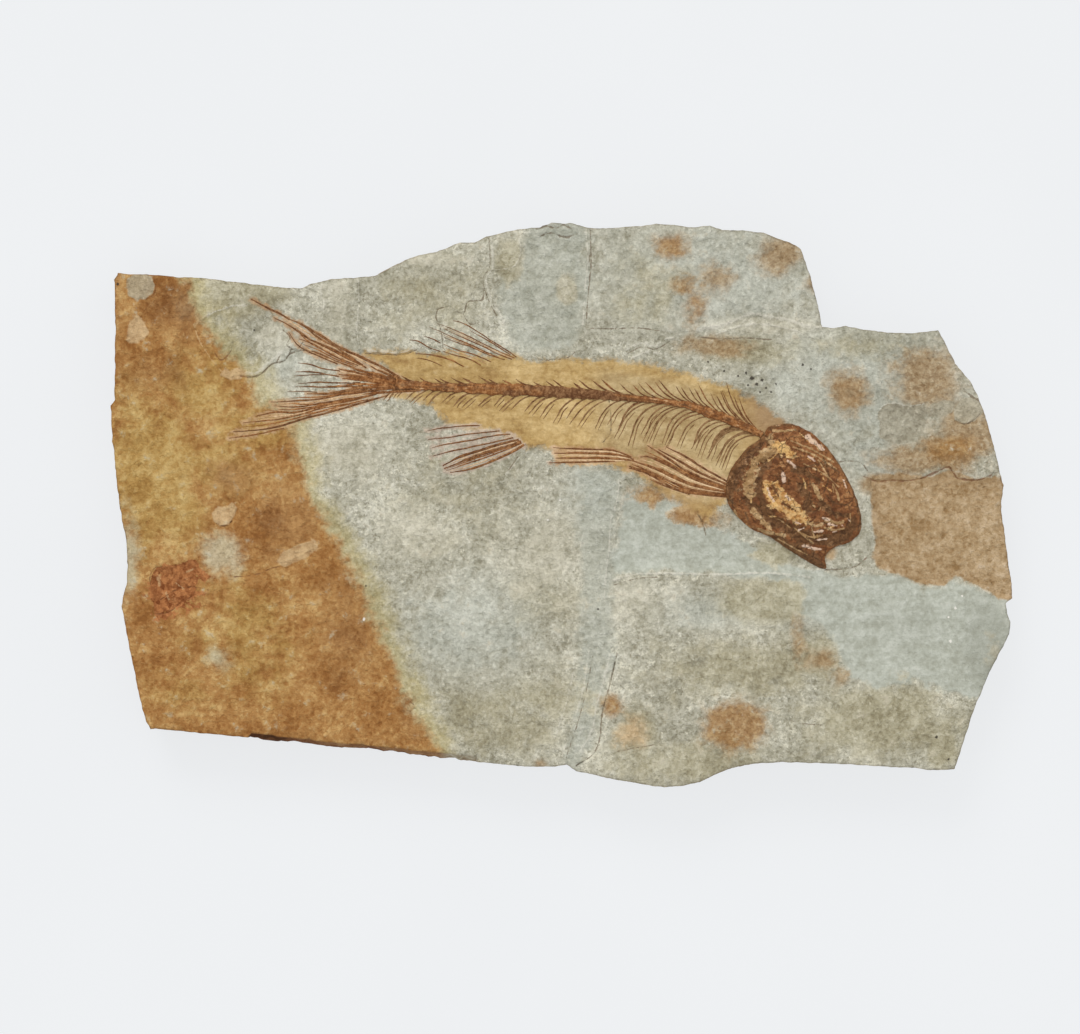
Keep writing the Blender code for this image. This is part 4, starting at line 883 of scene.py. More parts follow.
    # The tan film of the body, browner by the head, greener between the front ribs
    flow = f.clouds(1.2, 4.0, 0.6, stretch=(0.3, 1.0, 1.0), shift=2.2)
    film_value = f.weigh(flow, 0.3, broad, 0.25, medium, 0.2, grain, 0.25)
    film = f.ramp(film_value, (0.40, 0.34, 0.19, 0.055), (0.49, 0.50, 0.32, 0.11),
                  (0.60, 0.72, 0.51, 0.225))
    cream = f.ramp(film_value, (0.40, 0.36, 0.24, 0.10), (0.60, 0.62, 0.475, 0.255))
    film = f.lay(f.mask("cream"), 0.7, film, cream)
    film = f.lay(f.mask("dusky"), 0.85, film, (0.37, 0.225, 0.11))
    film_reach = f.ragged("film", -0.7, 0.7, wander, 2.2, grain, 2.0, blotch, 2.6)
    colour = f.lay(film_reach, 0.93, colour, film)
    web_warm = f.ramp(film_value, (0.42, 0.41, 0.22, 0.10), (0.58, 0.71, 0.48, 0.28))
    web_pink = f.ramp(film_value, (0.42, 0.43, 0.32, 0.24), (0.58, 0.70, 0.575, 0.46))
    web = f.mix(f.mask("warm"), web_pink, web_warm)
    web_reach = f.ragged("web", -0.05, 0.55, wander, 1.6, grain, 1.2)
    colour = f.lay(web_reach, 0.82, colour, web)

    # Raised places and lips are painted pale, as wear and painted highlight; hollows get painted shade;
    # cracks and the grooves under ledges are painted dark, partly as painted shadow
    broken = f.spread(medium, 0.3)
    # Painted shade: hollows are darkened by how far they sink below their surroundings
    colour = f.lay(f.step(f.sum(f.mask("relief"), broken), -0.08, -0.24), 0.32, colour, (0.20, 0.15, 0.09))
    # Painted highlight as well as wear: raised places and lips are painted pale, tan on the stain
    worn_and_lit_edge = f.mix(f.step(f.mask("stain"), -1.0, 1.0), (0.80, 0.76, 0.65), (0.72, 0.51, 0.27))
    colour = f.lay(f.step(f.sum(f.mask("relief"), broken), 0.04, 0.16), 0.4, colour, worn_and_lit_edge)
    ragged = f.spread(f.weigh(grain, 0.5, medium, 0.3, chips, 0.2), 3.0)
    lip = f.step(f.sum(f.mask("lip"), ragged), 0.35, 0.9)
    colour = f.lay(lip, 0.42, colour, worn_and_lit_edge)
    # Cracks and the grooves under ledges are painted dark, partly as painted shadow, redder on the stain
    # and the brown block
    crack = f.step(f.sum(f.mask("crack"), ragged), 0.42, 0.9)
    reddish = f.step(f.sum(f.step(f.mask("stain"), 0.0, 1.0), f.step(f.mask("brown"), -2.0, -0.5)), 0.1,
                     0.9)
    colour = f.lay(crack, 0.72, colour, f.mix(reddish, (0.17, 0.12, 0.07), (0.19, 0.075, 0.03)))
    rim = f.ragged("rim", 0.5, 0.95, medium, 0.8)
    colour = f.lay(rim, 0.4, colour, f.mix(1.0, colour, (0.5, 0.42, 0.34), "MULTIPLY"))
    colour = f.lay(f.step(f.mask("black"), 0.3, 0.7), 0.9, colour, (0.05, 0.04, 0.03))
    colour = f.lay(f.step(f.mask("white"), 0.3, 0.7), 0.85, colour, (0.88, 0.84, 0.76))
    colour = f.mix(f.mask("side"), colour, side_colour(f))

    calm = f.step(f.weigh(putty_reach, 0.8, film_reach, 0.7), 1.1, 0.0)
    rough = f.ramp(film_reach, (0.0, 0.92, 0.92, 0.92), (1.0, 0.62, 0.62, 0.62))
    lumps = f.times(f.spread(f.weigh(medium, 0.6, wander, 0.4), 1.0), f.sum(f.times(calm, 0.75), 0.25))
    grit = f.times(f.spread(f.weigh(fine, 0.8, crumbs, 0.2), 1.0), f.sum(f.times(calm, 0.6), 0.4))
    return f.finish(colour, rough, [(lumps, 1.0), (grit, 0.5), (strokes, 0.1)], Specular_IOR_Level=0.15)


def side_colour(f):
    """Beds of the broken side: thin bands of grey and tan, and red-brown under the stain."""
    bands = f.clouds(2.0, 4.0, 0.7, stretch=(0.05, 0.05, 1.6), shift=0.2)
    value = f.weigh(bands, 0.55, f.clouds(5.0, 6.0, 0.66, shift=6.1), 0.45)
    plain = f.ramp(value, (0.39, 0.17, 0.11, 0.06), (0.46, 0.31, 0.235, 0.145), (0.53, 0.42, 0.37, 0.265),
                   (0.61, 0.58, 0.53, 0.41))
    stained = f.ramp(value, (0.39, 0.075, 0.03, 0.012), (0.49, 0.19, 0.08, 0.033),
                     (0.60, 0.40, 0.24, 0.115))
    return f.mix(f.step(f.mask("stain"), -2.0, 1.0), plain, stained)


def bone_finish(name, roughness):
    """Fossil bone: tone -1 is olive-brown, 0 dark purple-brown, 1 warm red-brown and 2 cream."""
    f = Finish(name)
    medium, grain = f.clouds(1.1, 4.0, 0.65), f.clouds(0.32, 3.0, 0.62, shift=0.4)
    value = f.weigh(medium, 0.5, grain, 0.42, f.cells(0.4), 0.08)
    olive = f.ramp(value, (0.40, 0.14, 0.07, 0.026), (0.60, 0.36, 0.215, 0.10))
    dark = f.ramp(value, (0.40, 0.10, 0.04, 0.016), (0.5, 0.175, 0.078, 0.032), (0.60, 0.30, 0.16, 0.072))
    warm = f.ramp(value, (0.40, 0.185, 0.065, 0.02), (0.5, 0.31, 0.128, 0.04), (0.60, 0.50, 0.25, 0.10))
    cream = f.ramp(value, (0.40, 0.48, 0.29, 0.14), (0.60, 0.82, 0.60, 0.37))
    colour = f.mix(f.step(f.mask("tone"), -1.0, 0.0), olive, dark)
    colour = f.mix(f.step(f.mask("tone"), 0.0, 1.0), colour, warm)
    colour = f.mix(f.step(f.mask("tone"), 1.1, 1.9), colour, cream)
    return f.finish(colour, roughness, [(value, 0.2)], Specular_IOR_Level=0.1)


def skull_finish():
    """Glossy mottled bone, with golden, pale, reddish and dark areas, and painted white highlights."""
    f = Finish("skull_bone")
    medium, grain = f.clouds(1.5, 5.0, 0.7), f.clouds(0.4, 4.0, 0.66, shift=0.4)
    streak = f.clouds(0.8, 4.0, 0.62, stretch=(0.75, 1.25, 1.0), shift=0.9)
    flakes = f.cells(0.9, 0.7)
    value = f.weigh(medium, 0.34, grain, 0.24, streak, 0.28, flakes, 0.14)
    colour = f.ramp(value, (0.40, 0.14, 0.047, 0.013), (0.46, 0.215, 0.078, 0.024),
                    (0.53, 0.31, 0.122, 0.04), (0.61, 0.54, 0.28, 0.11))

    def over(base, kind, tint, amount, ragged=3.2, low=0.36, high=0.6):
        """The base with one kind of stroke over it."""
        reach = f.step(f.sum(f.mask(kind), f.spread(value, ragged)), low, high)
        return f.lay(reach, amount, base, tint)

    red = f.ramp(value, (0.41, 0.20, 0.07, 0.02), (0.5, 0.34, 0.138, 0.045), (0.60, 0.56, 0.28, 0.11))
    colour = over(colour, "red", red, 0.9)
    dark = f.ramp(value, (0.40, 0.09, 0.038, 0.012), (0.5, 0.18, 0.083, 0.03), (0.60, 0.32, 0.165, 0.07))
    colour = over(colour, "dark", dark, 0.9)
    gold = f.ramp(value, (0.41, 0.38, 0.15, 0.04), (0.48, 0.67, 0.34, 0.10), (0.57, 0.92, 0.62, 0.28))
    colour = over(colour, "gold", gold, 0.92)
    pale = f.ramp(value, (0.40, 0.35, 0.20, 0.075), (0.5, 0.54, 0.33, 0.145), (0.60, 0.80, 0.56, 0.30))
    colour = over(colour, "pale", pale, 0.9, 1.8, 0.22, 0.6)
    colour = over(colour, "bright", (0.98, 0.62, 0.24), 0.8, 2.6, 0.3, 0.7)
    # Painted highlights: the white strokes are glints on the glossy bone
    colour = over(colour, "white", (1.0, 0.74, 0.55), 0.78, 3.4, 0.3, 0.75)
    split = f.times(f.step(f.cracks(1.3), 0.06, 0.015), f.step(medium, 0.46, 0.54))
    colour = f.lay(split, 0.65, colour, (0.07, 0.028, 0.01))
    gloss = f.ramp(grain, (0.38, 0.32, 0.32, 0.32), (0.62, 0.6, 0.6, 0.6))
    bumps = [(f.weigh(medium, 0.4, streak, 0.4, flakes, 0.06), 0.9),
             (f.sum(grain, f.times(split, -0.4)), 0.35)]
    return f.finish(colour, gloss, bumps, Specular_IOR_Level=0.22, Coat_Weight=0.05, Coat_Roughness=0.2)


def floor_finish():
    """A light table: a pale sheet that glows a little, so that shadows on it are weak."""
    f = Finish("studio_floor")
    faint = f.ramp(f.clouds(60.0, 2.0), (0.3, 0.108, 0.11, 0.112), (0.7, 0.118, 0.12, 0.122))
    return f.finish(faint, 0.9, Specular_IOR_Level=0.1, Emission_Color=(0.982, 1.0, 1.019, 1.0),
                    Emission_Strength=0.754)


class Relief:
    """Heights of the frame's slab on a fine grid, as they are and softened."""

    def __init__(self, thing):
        corners = [tuple(vertex.co / MM) for vertex in thing.data.vertices]
        tree = BVHTree.FromPolygons(corners, [tuple(face.vertices) for face in thing.data.polygons])
        columns, rows = (round(span / CAST_CELL) + 1 for span in CAST_SPAN)
        raw = np.zeros((rows, columns))
        for j in range(rows):
            for i in range(columns):
                above = Vector((CAST_START[0] + i * CAST_CELL, CAST_START[1] + j * CAST_CELL, CAST_FROM))
                hit, normal, _, _ = tree.ray_cast(above, DOWN)
                if hit is not None and hit.z > FACE_ABOVE and abs(normal.z) > 0.2:
                    raw[j, i] = hit.z
        self.layers = [self.soften(raw, width / CAST_CELL) for width in SOFT_WIDTHS]

    def soften(self, raw, cells):
        """The known heights averaged over a number of cells; unknown ones take their neighbours'."""
        known = (raw > 0).astype(float)
        heights = raw.copy()
        rounds = max(1, round(cells**2)) if cells else 0
        for _ in range(rounds):
            heights, known = self.blur(heights), self.blur(known)
        heights = np.where(known > 1e-6, heights / np.maximum(known, 1e-6), 0.0)
        for _ in range(14):
            missing = heights <= 0
            filled = self.blur(self.blur(np.where(missing, 0.0, heights)))
            weight = self.blur(self.blur((~missing).astype(float)))
            heights = np.where(missing & (weight > 1e-6), filled / np.maximum(weight, 1e-6), heights)
        return heights

    @staticmethod
    def blur(grid):
        """Each cell of a grid averaged with its neighbours."""
        padded = np.pad(grid, 1, mode="edge")
        rows = 0.25 * padded[:-2] + 0.5 * padded[1:-1] + 0.25 * padded[2:]
        return 0.25 * rows[:, :-2] + 0.5 * rows[:, 1:-1] + 0.25 * rows[:, 2:]

    def sample(self, layer, spots):
        """A layer's heights at flat points, evened out between its cells."""
        place = (spots - np.array(CAST_START)) / CAST_CELL
        corner = np.clip(np.floor(place).astype(int), 0, np.array(layer.shape)[::-1] - 2)
        share = np.clip(place - corner, 0.0, 1.0)
        i, j = corner[:, 0], corner[:, 1]
        low = layer[j, i] * (1 - share[:, 0]) + layer[j, i + 1] * share[:, 0]
        high = layer[j + 1, i] * (1 - share[:, 0]) + layer[j + 1, i + 1] * share[:, 0]
        return low * (1 - share[:, 1]) + high * share[:, 1]

    def heights(self, spots, softness):
        """Heights at flat points, from sharp (softness 0) to well worn (softness 2)."""
        sharp, worn, soft = (self.sample(layer, spots) for layer in self.layers)
        first, second = np.clip(softness, 0.0, 1.0), np.clip(softness - 1.0, 0.0, 1.0)
        return (sharp * (1 - first) + worn * first) * (1 - second) + soft * second


# The slab's outline, and the stretch of its lower edge that breaks off short of it
OUTLINE = [
    (-74.5, 37.5), (-73.7, 38.7), (-70.0, 38.5), (-66.0, 38.2), (-62.0, 37.9), (-58.1, 37.7),
    (-54.1, 37.2), (-50.1, 36.7), (-46.1, 36.2), (-43.1, 36.2), (-41.4, 36.9), (-38.1, 37.7),
    (-34.1, 37.9), (-31.1, 38.2), (-28.2, 39.7), (-25.2, 41.2), (-21.8, 42.0), (-19.2, 42.7),
    (-16.9, 43.7), (-14.5, 43.7), (-12.9, 44.5), (-10.2, 45.2), (-6.9, 46.0), (-3.6, 46.3),
    (-1.7, 47.0), (1.7, 47.0), (4.4, 46.2), (7.4, 46.0), (13.7, 46.5), (15.7, 46.8),
    (19.7, 46.5), (22.0, 46.2), (24.7, 46.5), (26.7, 45.8), (30.5, 45.7), (33.6, 45.3),
    (35.5, 44.5), (38.0, 43.7), (39.8, 42.5), (40.6, 40.4), (41.4, 37.9), (42.4, 34.4),
    (42.9, 32.1), (43.3, 29.7), (45.3, 29.6), (47.3, 29.9), (50.2, 29.2), (53.6, 28.9),
    (57.6, 28.7), (62.7, 29.1), (63.7, 27.2), (65.5, 23.6), (67.9, 20.8), (69.2, 18.4),
    (70.2, 15.8), (71.0, 13.1), (72.2, 8.8), (73.0, 5.3), (73.7, 3.3), (73.3, 0.8),
    (73.4, -1.8), (73.9, -5.5), (74.4, -9.5), (75.0, -13.1), (75.0, -15.6), (73.9, -16.3),
    (74.1, -17.9), (74.6, -19.4), (74.3, -21.4), (73.4, -23.4), (71.4, -27.4), (69.6, -31.4),
    (68.0, -35.4), (66.8, -39.5), (65.3, -44.0), (61.2, -44.1), (55.6, -43.6), (49.6, -43.3),
    (43.6, -43.0), (35.6, -42.8), (31.6, -43.1), (27.7, -44.0), (25.3, -45.0), (23.0, -46.1),
    (20.3, -46.8), (17.0, -47.0), (13.0, -46.4), (8.4, -45.6), (4.7, -44.8), (2.4, -44.3),
    (0.9, -43.3), (-1.6, -43.6), (-6.2, -43.6), (-11.9, -43.0), (-18.2, -42.5), (-26.2, -41.6),
    (-34.1, -40.8), (-42.1, -40.0), (-52.1, -38.8), (-60.0, -38.0), (-64.0, -37.6), (-68.4, -37.3),
    (-69.2, -36.0), (-70.3, -31.4), (-71.2, -27.4), (-72.2, -22.4), (-73.2, -16.8), (-73.0, -15.3),
    (-72.3, -12.8), (-72.2, -10.0), (-72.5, -5.8), (-73.5, -0.2), (-74.0, 4.2), (-74.7, 10.5),
    (-75.0, 16.6), (-74.3, 17.4), (-74.3, 22.4), (-74.3, 27.4), (-74.3, 32.4), (-74.2, 35.4),
]

LIP_START_X = -52.0
LIP_END_X = -14.0
LIP_BELOW_Y = -38.0
LIP_INSET = 0.9


def ragged_edge():
    """The outline as many small steps, its points pushed in unevenly as a broken edge is."""
    points, inwards = [], []
    closed = OUTLINE + OUTLINE[:1]
    for a, b in zip(closed, closed[1:]):
        span = Vector(b) - Vector(a)
        inward = Vector((span.y, -span.x)).normalized()
        steps = max(1, round(span.length / EDGE_CELL))
        for i in range(steps):
            points.append(Vector(a) + span * (i / steps))
            inwards.append(inward)
    coarse = clouds([tuple(point) for point in points], 5.0, 3, 41)
    fine = clouds([tuple(point) for point in points], 1.1, 3, 42)
    ragged = []
    for i, (point, inward) in enumerate(zip(points, inwards)):
        push = max(0.0, 0.13 + 0.14 * coarse[i] + 0.09 * fine[i])
        on_lip = LIP_START_X < point.x < LIP_END_X and point.y < LIP_BELOW_Y
        ragged.append(point + inward * (push + (LIP_INSET if on_lip else 0.0)))
    return points, inwards, ragged


def mark_masks(spots, marks, raggedness):
    """Each kind's strength at flat points, and how far all the marks raise them."""
    masks, rise = {}, np.zeros(len(spots))
    uneven, drift = clouds(spots, 0.7, 3, 51), clouds(spots, 2.4, 2, 52)
    for kind, wide, lift, line in marks:
        corners = np.array(line)
        reach = 3.0 * wide + 0.6
        near = np.all((spots > corners.min(axis=0) - reach) & (spots < corners.max(axis=0) + reach), axis=1)
        away = line_distance(spots[near], smooth_line(line))
        away = away + wide * raggedness * uneven[near]
        thin = np.clip(1.0 + 0.7 * drift[near], 0.45, 1.5)
        strength = np.exp(-np.clip(away / (wide * thin), 0.0, 9.0) ** 2)
        masks.setdefault(kind, np.zeros(len(spots)))
        masks[kind][near] = np.maximum(masks[kind][near], strength)
        rise[near] += lift * strength
    return masks, rise


def top_heights(spots, relief, edge_by):
    """Heights of the stone's face: the frame's beds with ragged, worn steps, then finer relief."""
    reach = np.clip(edge_by - 0.3, 0.0, 1.0)
    shift = np.stack([clouds(spots, 2.6, 4, 1), clouds(spots, 2.6, 4, 2)], axis=1)
    marks, rise = mark_masks(spots, STONE_MARKS, 0.6)
    film, putty = inside_by(spots, FILM), inside_by(spots, PUTTY)
    sharpen = 0.8 * np.clip(marks["crack"] + marks["lip"], 0.0, 1.0)
    softness = 1.8 + 0.3 * clouds(spots, 7.0, 3, 3) - sharpen
    heights = relief.heights(spots + 0.45 * reach[:, None] * shift, softness) + rise

    wobble = 0.8 * clouds(spots, 1.6, 3, 4)
    for outline, lift in THIN_BEDS:
        heights += lift * smooth_step(inside_by(spots, outline) + wobble, -0.2, 0.2)
    for _, lift, outline in FLAKES:
        heights += lift * smooth_step(inside_by(spots, outline) + 0.35 * wobble, -0.12, 0.12)
    calm = np.maximum(smooth_step(putty, -0.5, 1.5), smooth_step(film, -0.3, 0.6))
    rough = 1.0 - 0.8 * calm
    flakes = clouds(spots, 6.0, 6, 5)
    for level in (-0.4, 0.0, 0.4):
        heights += 0.05 * rough * smooth_step(flakes, level, level + 0.08)
    heights += 0.10 * clouds(spots, 24.0, 2, 6)
    heights += 0.06 * (0.3 + 0.7 * rough) * clouds(spots, 2.2, 5, 7)
    heights -= 0.14 * rough * smooth_step(clouds(spots, 1.5, 3, 8), 0.5, 0.85)
    heights += 0.10 * rough * smooth_step(clouds(spots, 1.7, 3, 10), 0.5, 0.85)
    chips = clouds(spots, 1.8, 4, 9)
    heights -= np.clip(0.8 - edge_by, 0.0, 0.8) * np.clip(0.2 + 0.45 * chips, 0.04, 0.6)
    return heights


def triangulate(spots, ring_size):
    """Triangles over flat points, inside the ring that their first ring_size points form."""
    ring = list(range(ring_size))
    edges = [(i, (i + 1) % ring_size) for i in ring]
    flat = [Vector(spot) for spot in spots.tolist()]
    result = delaunay_2d_cdt(flat, edges, [ring], 1, 1e-7)
    return np.array([tuple(v) for v in result[0]]), np.array(result[2])


def grid_spots(cell, outline, margin, seed):
    """Slightly shaken grid points that lie inside an outline by a margin."""
    draw = np.random.default_rng(seed)
    corners = np.array(outline)
    low, high = corners.min(axis=0), corners.max(axis=0)
    xs, ys = np.arange(low[0], high[0], cell), np.arange(low[1], high[1], cell)
    spots = np.stack(np.meshgrid(xs, ys), axis=-1).reshape(-1, 2)
    spots = spots + draw.uniform(-0.22, 0.22, spots.shape) * cell
    return spots[inside_by(spots, outline) > margin]


def finer_spots(spots, heights, faces):
    """Extra points in steep triangles, along the marks and in the specks."""
    draw = np.random.default_rng(22)
    drop = heights[faces].max(axis=1) - heights[faces].min(axis=1)
    steep = faces[drop > STEP_SEEN]
    extra = []
    for _ in range(round((TOP_CELL / STEP_CELL) ** 2 / 2)):
        weights = draw.dirichlet((1.4, 1.4, 1.4), len(steep))
        extra.append((spots[steep] * weights[:, :, None]).sum(axis=1))
    for _, wide, _, line in STONE_MARKS:
        curve = np.array(smooth_line(line))
        steps = np.linalg.norm(np.diff(curve, axis=0), axis=1)
        along = np.concatenate([[0.0], np.cumsum(steps)])
        places = np.arange(0.0, along[-1], MARK_CELL)
        middle = np.stack([np.interp(places, along, curve[:, k]) for k in (0, 1)], axis=1)
        for offset in MARK_OFFSETS:
            shaken = draw.uniform(-MARK_SHAKE, MARK_SHAKE, middle.shape)
            ahead = np.gradient(middle, axis=0) if len(middle) > 1 else np.ones_like(middle)
            across = np.stack([-ahead[:, 1], ahead[:, 0]], axis=1)
            across /= np.maximum(np.linalg.norm(across, axis=1)[:, None], 1e-9)
            extra.append(middle + across * wide * offset + shaken)
    for x, y, wide in BLACK_SPECKS + WHITE_SPECKS:
        (cx, cy), = mm((x, y))
        extra.append(np.array([
            (cx + ring * wide * MM_PER_PIXEL * math.cos(turn),
             cy + ring * wide * MM_PER_PIXEL * math.sin(turn))
            for ring in SPECK_RINGS for turn in np.arange(*SPECK_TURNS) + ring
        ]))
    return np.concatenate(extra)


def side_rings(points, inwards, ragged, top):
    """Rings down the broken side: beds of uneven thickness, each standing out or back by itself."""
    draw = random.Random(11)
    cuts = sorted(draw.uniform(0.06, 0.96) for _ in range(BEDS_IN_SIDE - 1))
    limits = [1.0] + cuts[::-1] + [0.0]
    flat = np.array([tuple(point) for point in points])
    rings = []
    for bed, (upper, lower) in enumerate(zip(limits, limits[1:])):
        rise = clouds(flat, 7.0, 3, 60 + bed)
        for level in (upper - BED_GAP, (upper + lower) / 2, lower + BED_GAP):
            fine = clouds(flat, 1.4, 3, 80 + len(rings))
            ring = []
            for i, (point, inward) in enumerate(zip(points, inwards)):
                z = level * top[i]
                inset = float(np.interp(z, SIDE_HEIGHTS, SIDE_INSETS))
                inset = max(0.05, inset + 0.15 + 0.5 * rise[i] + 0.16 * fine[i])
                own = (ragged[i] - point).dot(inward)
                near_top = smooth_step(z, top[i] - EDGE_WEAR, top[i])
                spot = point + inward * (inset * (1 - near_top) + own * near_top)
                ring.append((spot.x, spot.y, max(z, 0.0)))
            rings.append(ring)
    return rings


def stand_out(heights, faces, rounds):
    """How far each point stands above (or below) its surroundings."""
    pairs = np.concatenate([faces[:, [0, 1]], faces[:, [1, 2]], faces[:, [2, 0]]])
    pairs = np.concatenate([pairs, pairs[:, ::-1]])
    count = np.bincount(pairs[:, 0], minlength=len(heights))
    level = heights
    for _ in range(rounds):
        total = np.bincount(pairs[:, 0], weights=level[pairs[:, 1]], minlength=len(heights))
        level = 0.5 * level + 0.5 * total / np.maximum(count, 1)
    return heights - level


# Each fin's rays, under the name of the frame's node
FINS = {
    "tail_fin": TAIL_RAYS + TAIL_MIDDLE_RAYS,
    "dorsal_fin": DORSAL_RAYS,
    "anal_fin": ANAL_RAYS,
    "pelvic_fin": PELVIC_RAYS,
    "pectoral_fin": PECTORAL_RAYS,
}


def face_masks(spots):
    """Where each stain, film, filling, spot and speck of the face lies."""
    webbed = TAIL_RAYS + ANAL_RAYS + PELVIC_RAYS + PECTORAL_RAYS
    x, y, film = spots[:, 0], spots[:, 1], inside_by(spots, FILM)
    masks = {
        "stain": inside_by(spots, STAIN),
        "film": film,
        "brown": inside_by(spots, BROWN_BLOCK),
        "putty": inside_by(spots, PUTTY),
        "smooth": np.max([inside_by(spots, outline) for outline in SMOOTH_AREAS], axis=0),
        "web": np.max([0.64 - line_distance(spots, line) for line, _, _ in webbed], axis=0),
        "warm": np.clip(smooth_step(-x, 20.0, 30.0) + smooth_step(x, -4.0, 0.0), 0.0, 1.0),
        "cream": smooth_step(x, 3.0, 9.0) * smooth_step(-x, -34.0, -26.0) * smooth_step(film, 0.8, 3.0),
        "dusky": np.maximum(
            smooth_step(x, 28.0, 34.0) * smooth_step(y, 9.0, 14.0),
            0.7 * np.exp(-(((x - 18.0) / 6.0) ** 2) - ((y / 3.0) ** 2)),
        ),
    }
    for kind, places in SPOTS.items():
        masks[kind] = np.zeros(len(spots))
        for middle_x, middle_y, wide, high, strength in places:
            reach = ((x - middle_x) / wide) ** 2 + ((y - middle_y) / high) ** 2
            masks[kind] = np.maximum(masks[kind], strength * np.exp(-reach * 0.8))
    for kind, _, outline in FLAKES:
        masks[kind] = np.maximum(masks[kind], smooth_step(inside_by(spots, outline), -0.25, 0.2))
    uneven = 1.0 + 0.6 * clouds(spots, 0.45, 2, 55)
    for kind, specks in (("black", BLACK_SPECKS), ("white", WHITE_SPECKS)):
        masks[kind] = np.zeros(len(spots))
        for *pixel, wide in specks:
            away = uneven * np.linalg.norm(spots - mm(pixel), axis=1) / (wide * MM_PER_PIXEL)
            masks[kind] = np.maximum(masks[kind], np.exp(-away**2 * 0.7))
    marks, _ = mark_masks(spots, STONE_MARKS, 0.6)
    return masks | marks


def make_stone():
    """The slab, its face, side and back; gives a tree of the face for the bones to lie on."""
    relief = Relief(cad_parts["stone_slab"])
    points, inwards, ragged = ragged_edge()
    rim = np.array([tuple(point) for point in ragged])
    outline = rim.tolist()
    spots = np.concatenate([rim, grid_spots(TOP_CELL, outline, 0.3 * TOP_CELL, 21)])
    places, faces = triangulate(spots, len(rim))
    heights = top_heights(places, relief, inside_by(places, outline))
    extra = finer_spots(places, heights, faces)
    extra = extra[inside_by(extra, outline) > EDGE_MARGIN]
    places, faces = triangulate(np.concatenate([spots, extra]), len(rim))
    edge_by = inside_by(places, outline)
    heights = top_heights(places, relief, edge_by)
    masks = face_masks(places)
    # How far each point stands out; it sets the painted shade in hollows and the painted highlight on
    # raised places
    masks["relief"] = stand_out(heights, faces, 7)
    masks["rim"] = np.exp(-np.clip(edge_by, 0.0, 9.0) / RIM_WIDTH)
    masks["side"] = np.zeros(len(places))
    corners = lifted(places, heights)
    faces = [tuple(face) for face in faces.tolist()]
    top_tree = BVHTree.FromPolygons(corners, faces)

    # The triangulation keeps the ring's points first and in order
    count = len(rim)
    rings = side_rings(points, inwards, ragged, heights[:count].tolist())
    upper = list(range(count))
    for ring in rings:
        lower = list(range(len(corners), len(corners) + count))
        corners += ring
        faces += wall(upper, lower)
        upper = lower
    last_ring = [(x, y) for x, y, _ in rings[-1]]
    back = np.concatenate([np.array(last_ring), grid_spots(BACK_CELL, last_ring, 0.6, 23)])
    back_places, back_faces = triangulate(back, count)
    inner = np.clip(inside_by(back_places, last_ring) / 3.0, 0.0, 1.0)
    rise = inner * (0.28 + 0.3 * clouds(back_places, 18.0, 5, 12) + 0.08 * clouds(back_places, 3.0, 3, 13))
    rise = np.clip(rise, 0.0, 0.9)
    number = upper + list(range(len(corners), len(corners) + len(back_places) - count))
    corners += lifted(back_places[count:], rise[count:])
    faces += [tuple(number[k] for k in reversed(face)) for face in back_faces.tolist()]

    below = np.array([(x, y) for x, y, _ in corners[len(places):]])
    fillers = {"stain": inside_by(below, STAIN), "side": np.ones(len(below))}
    fillers |= {kind: np.full(len(below), FAR_OUT) for kind in ("film", "brown", "putty", "smooth", "web")}
    for kind in masks:
        masks[kind] = np.concatenate([masks[kind], fillers.get(kind, np.zeros(len(below)))])
    make_object("stone_slab_split", corners, faces, masks, stone_finish(), "stone_slab")
    return top_tree


def ground(tree, x, y):
    """The height of the stone's face at a place."""
    hit = tree.ray_cast(Vector((x, y, CAST_FROM)), DOWN)[0]
    return hit.z if hit is not None else FACE_HEIGHT


# Sections of a thin bone and of the backbone: shares of the half width and of the height
STRAND_SECTION = ((-1.1, -0.5), (-0.75, 0.4), (-0.38, 0.88), (0.0, 1.0), (0.38, 0.88), (0.75, 0.4),
                  (1.1, -0.5))
COLUMN_SECTION = (
    (-1.0, -0.3), (-0.95, 0.3), (-0.76, 0.8), (-0.56, 0.72), (-0.36, 0.92), (0.0, 1.0), (0.36, 0.92),
    (0.56, 0.72), (0.76, 0.8), (0.95, 0.3), (1.0, -0.3),
)


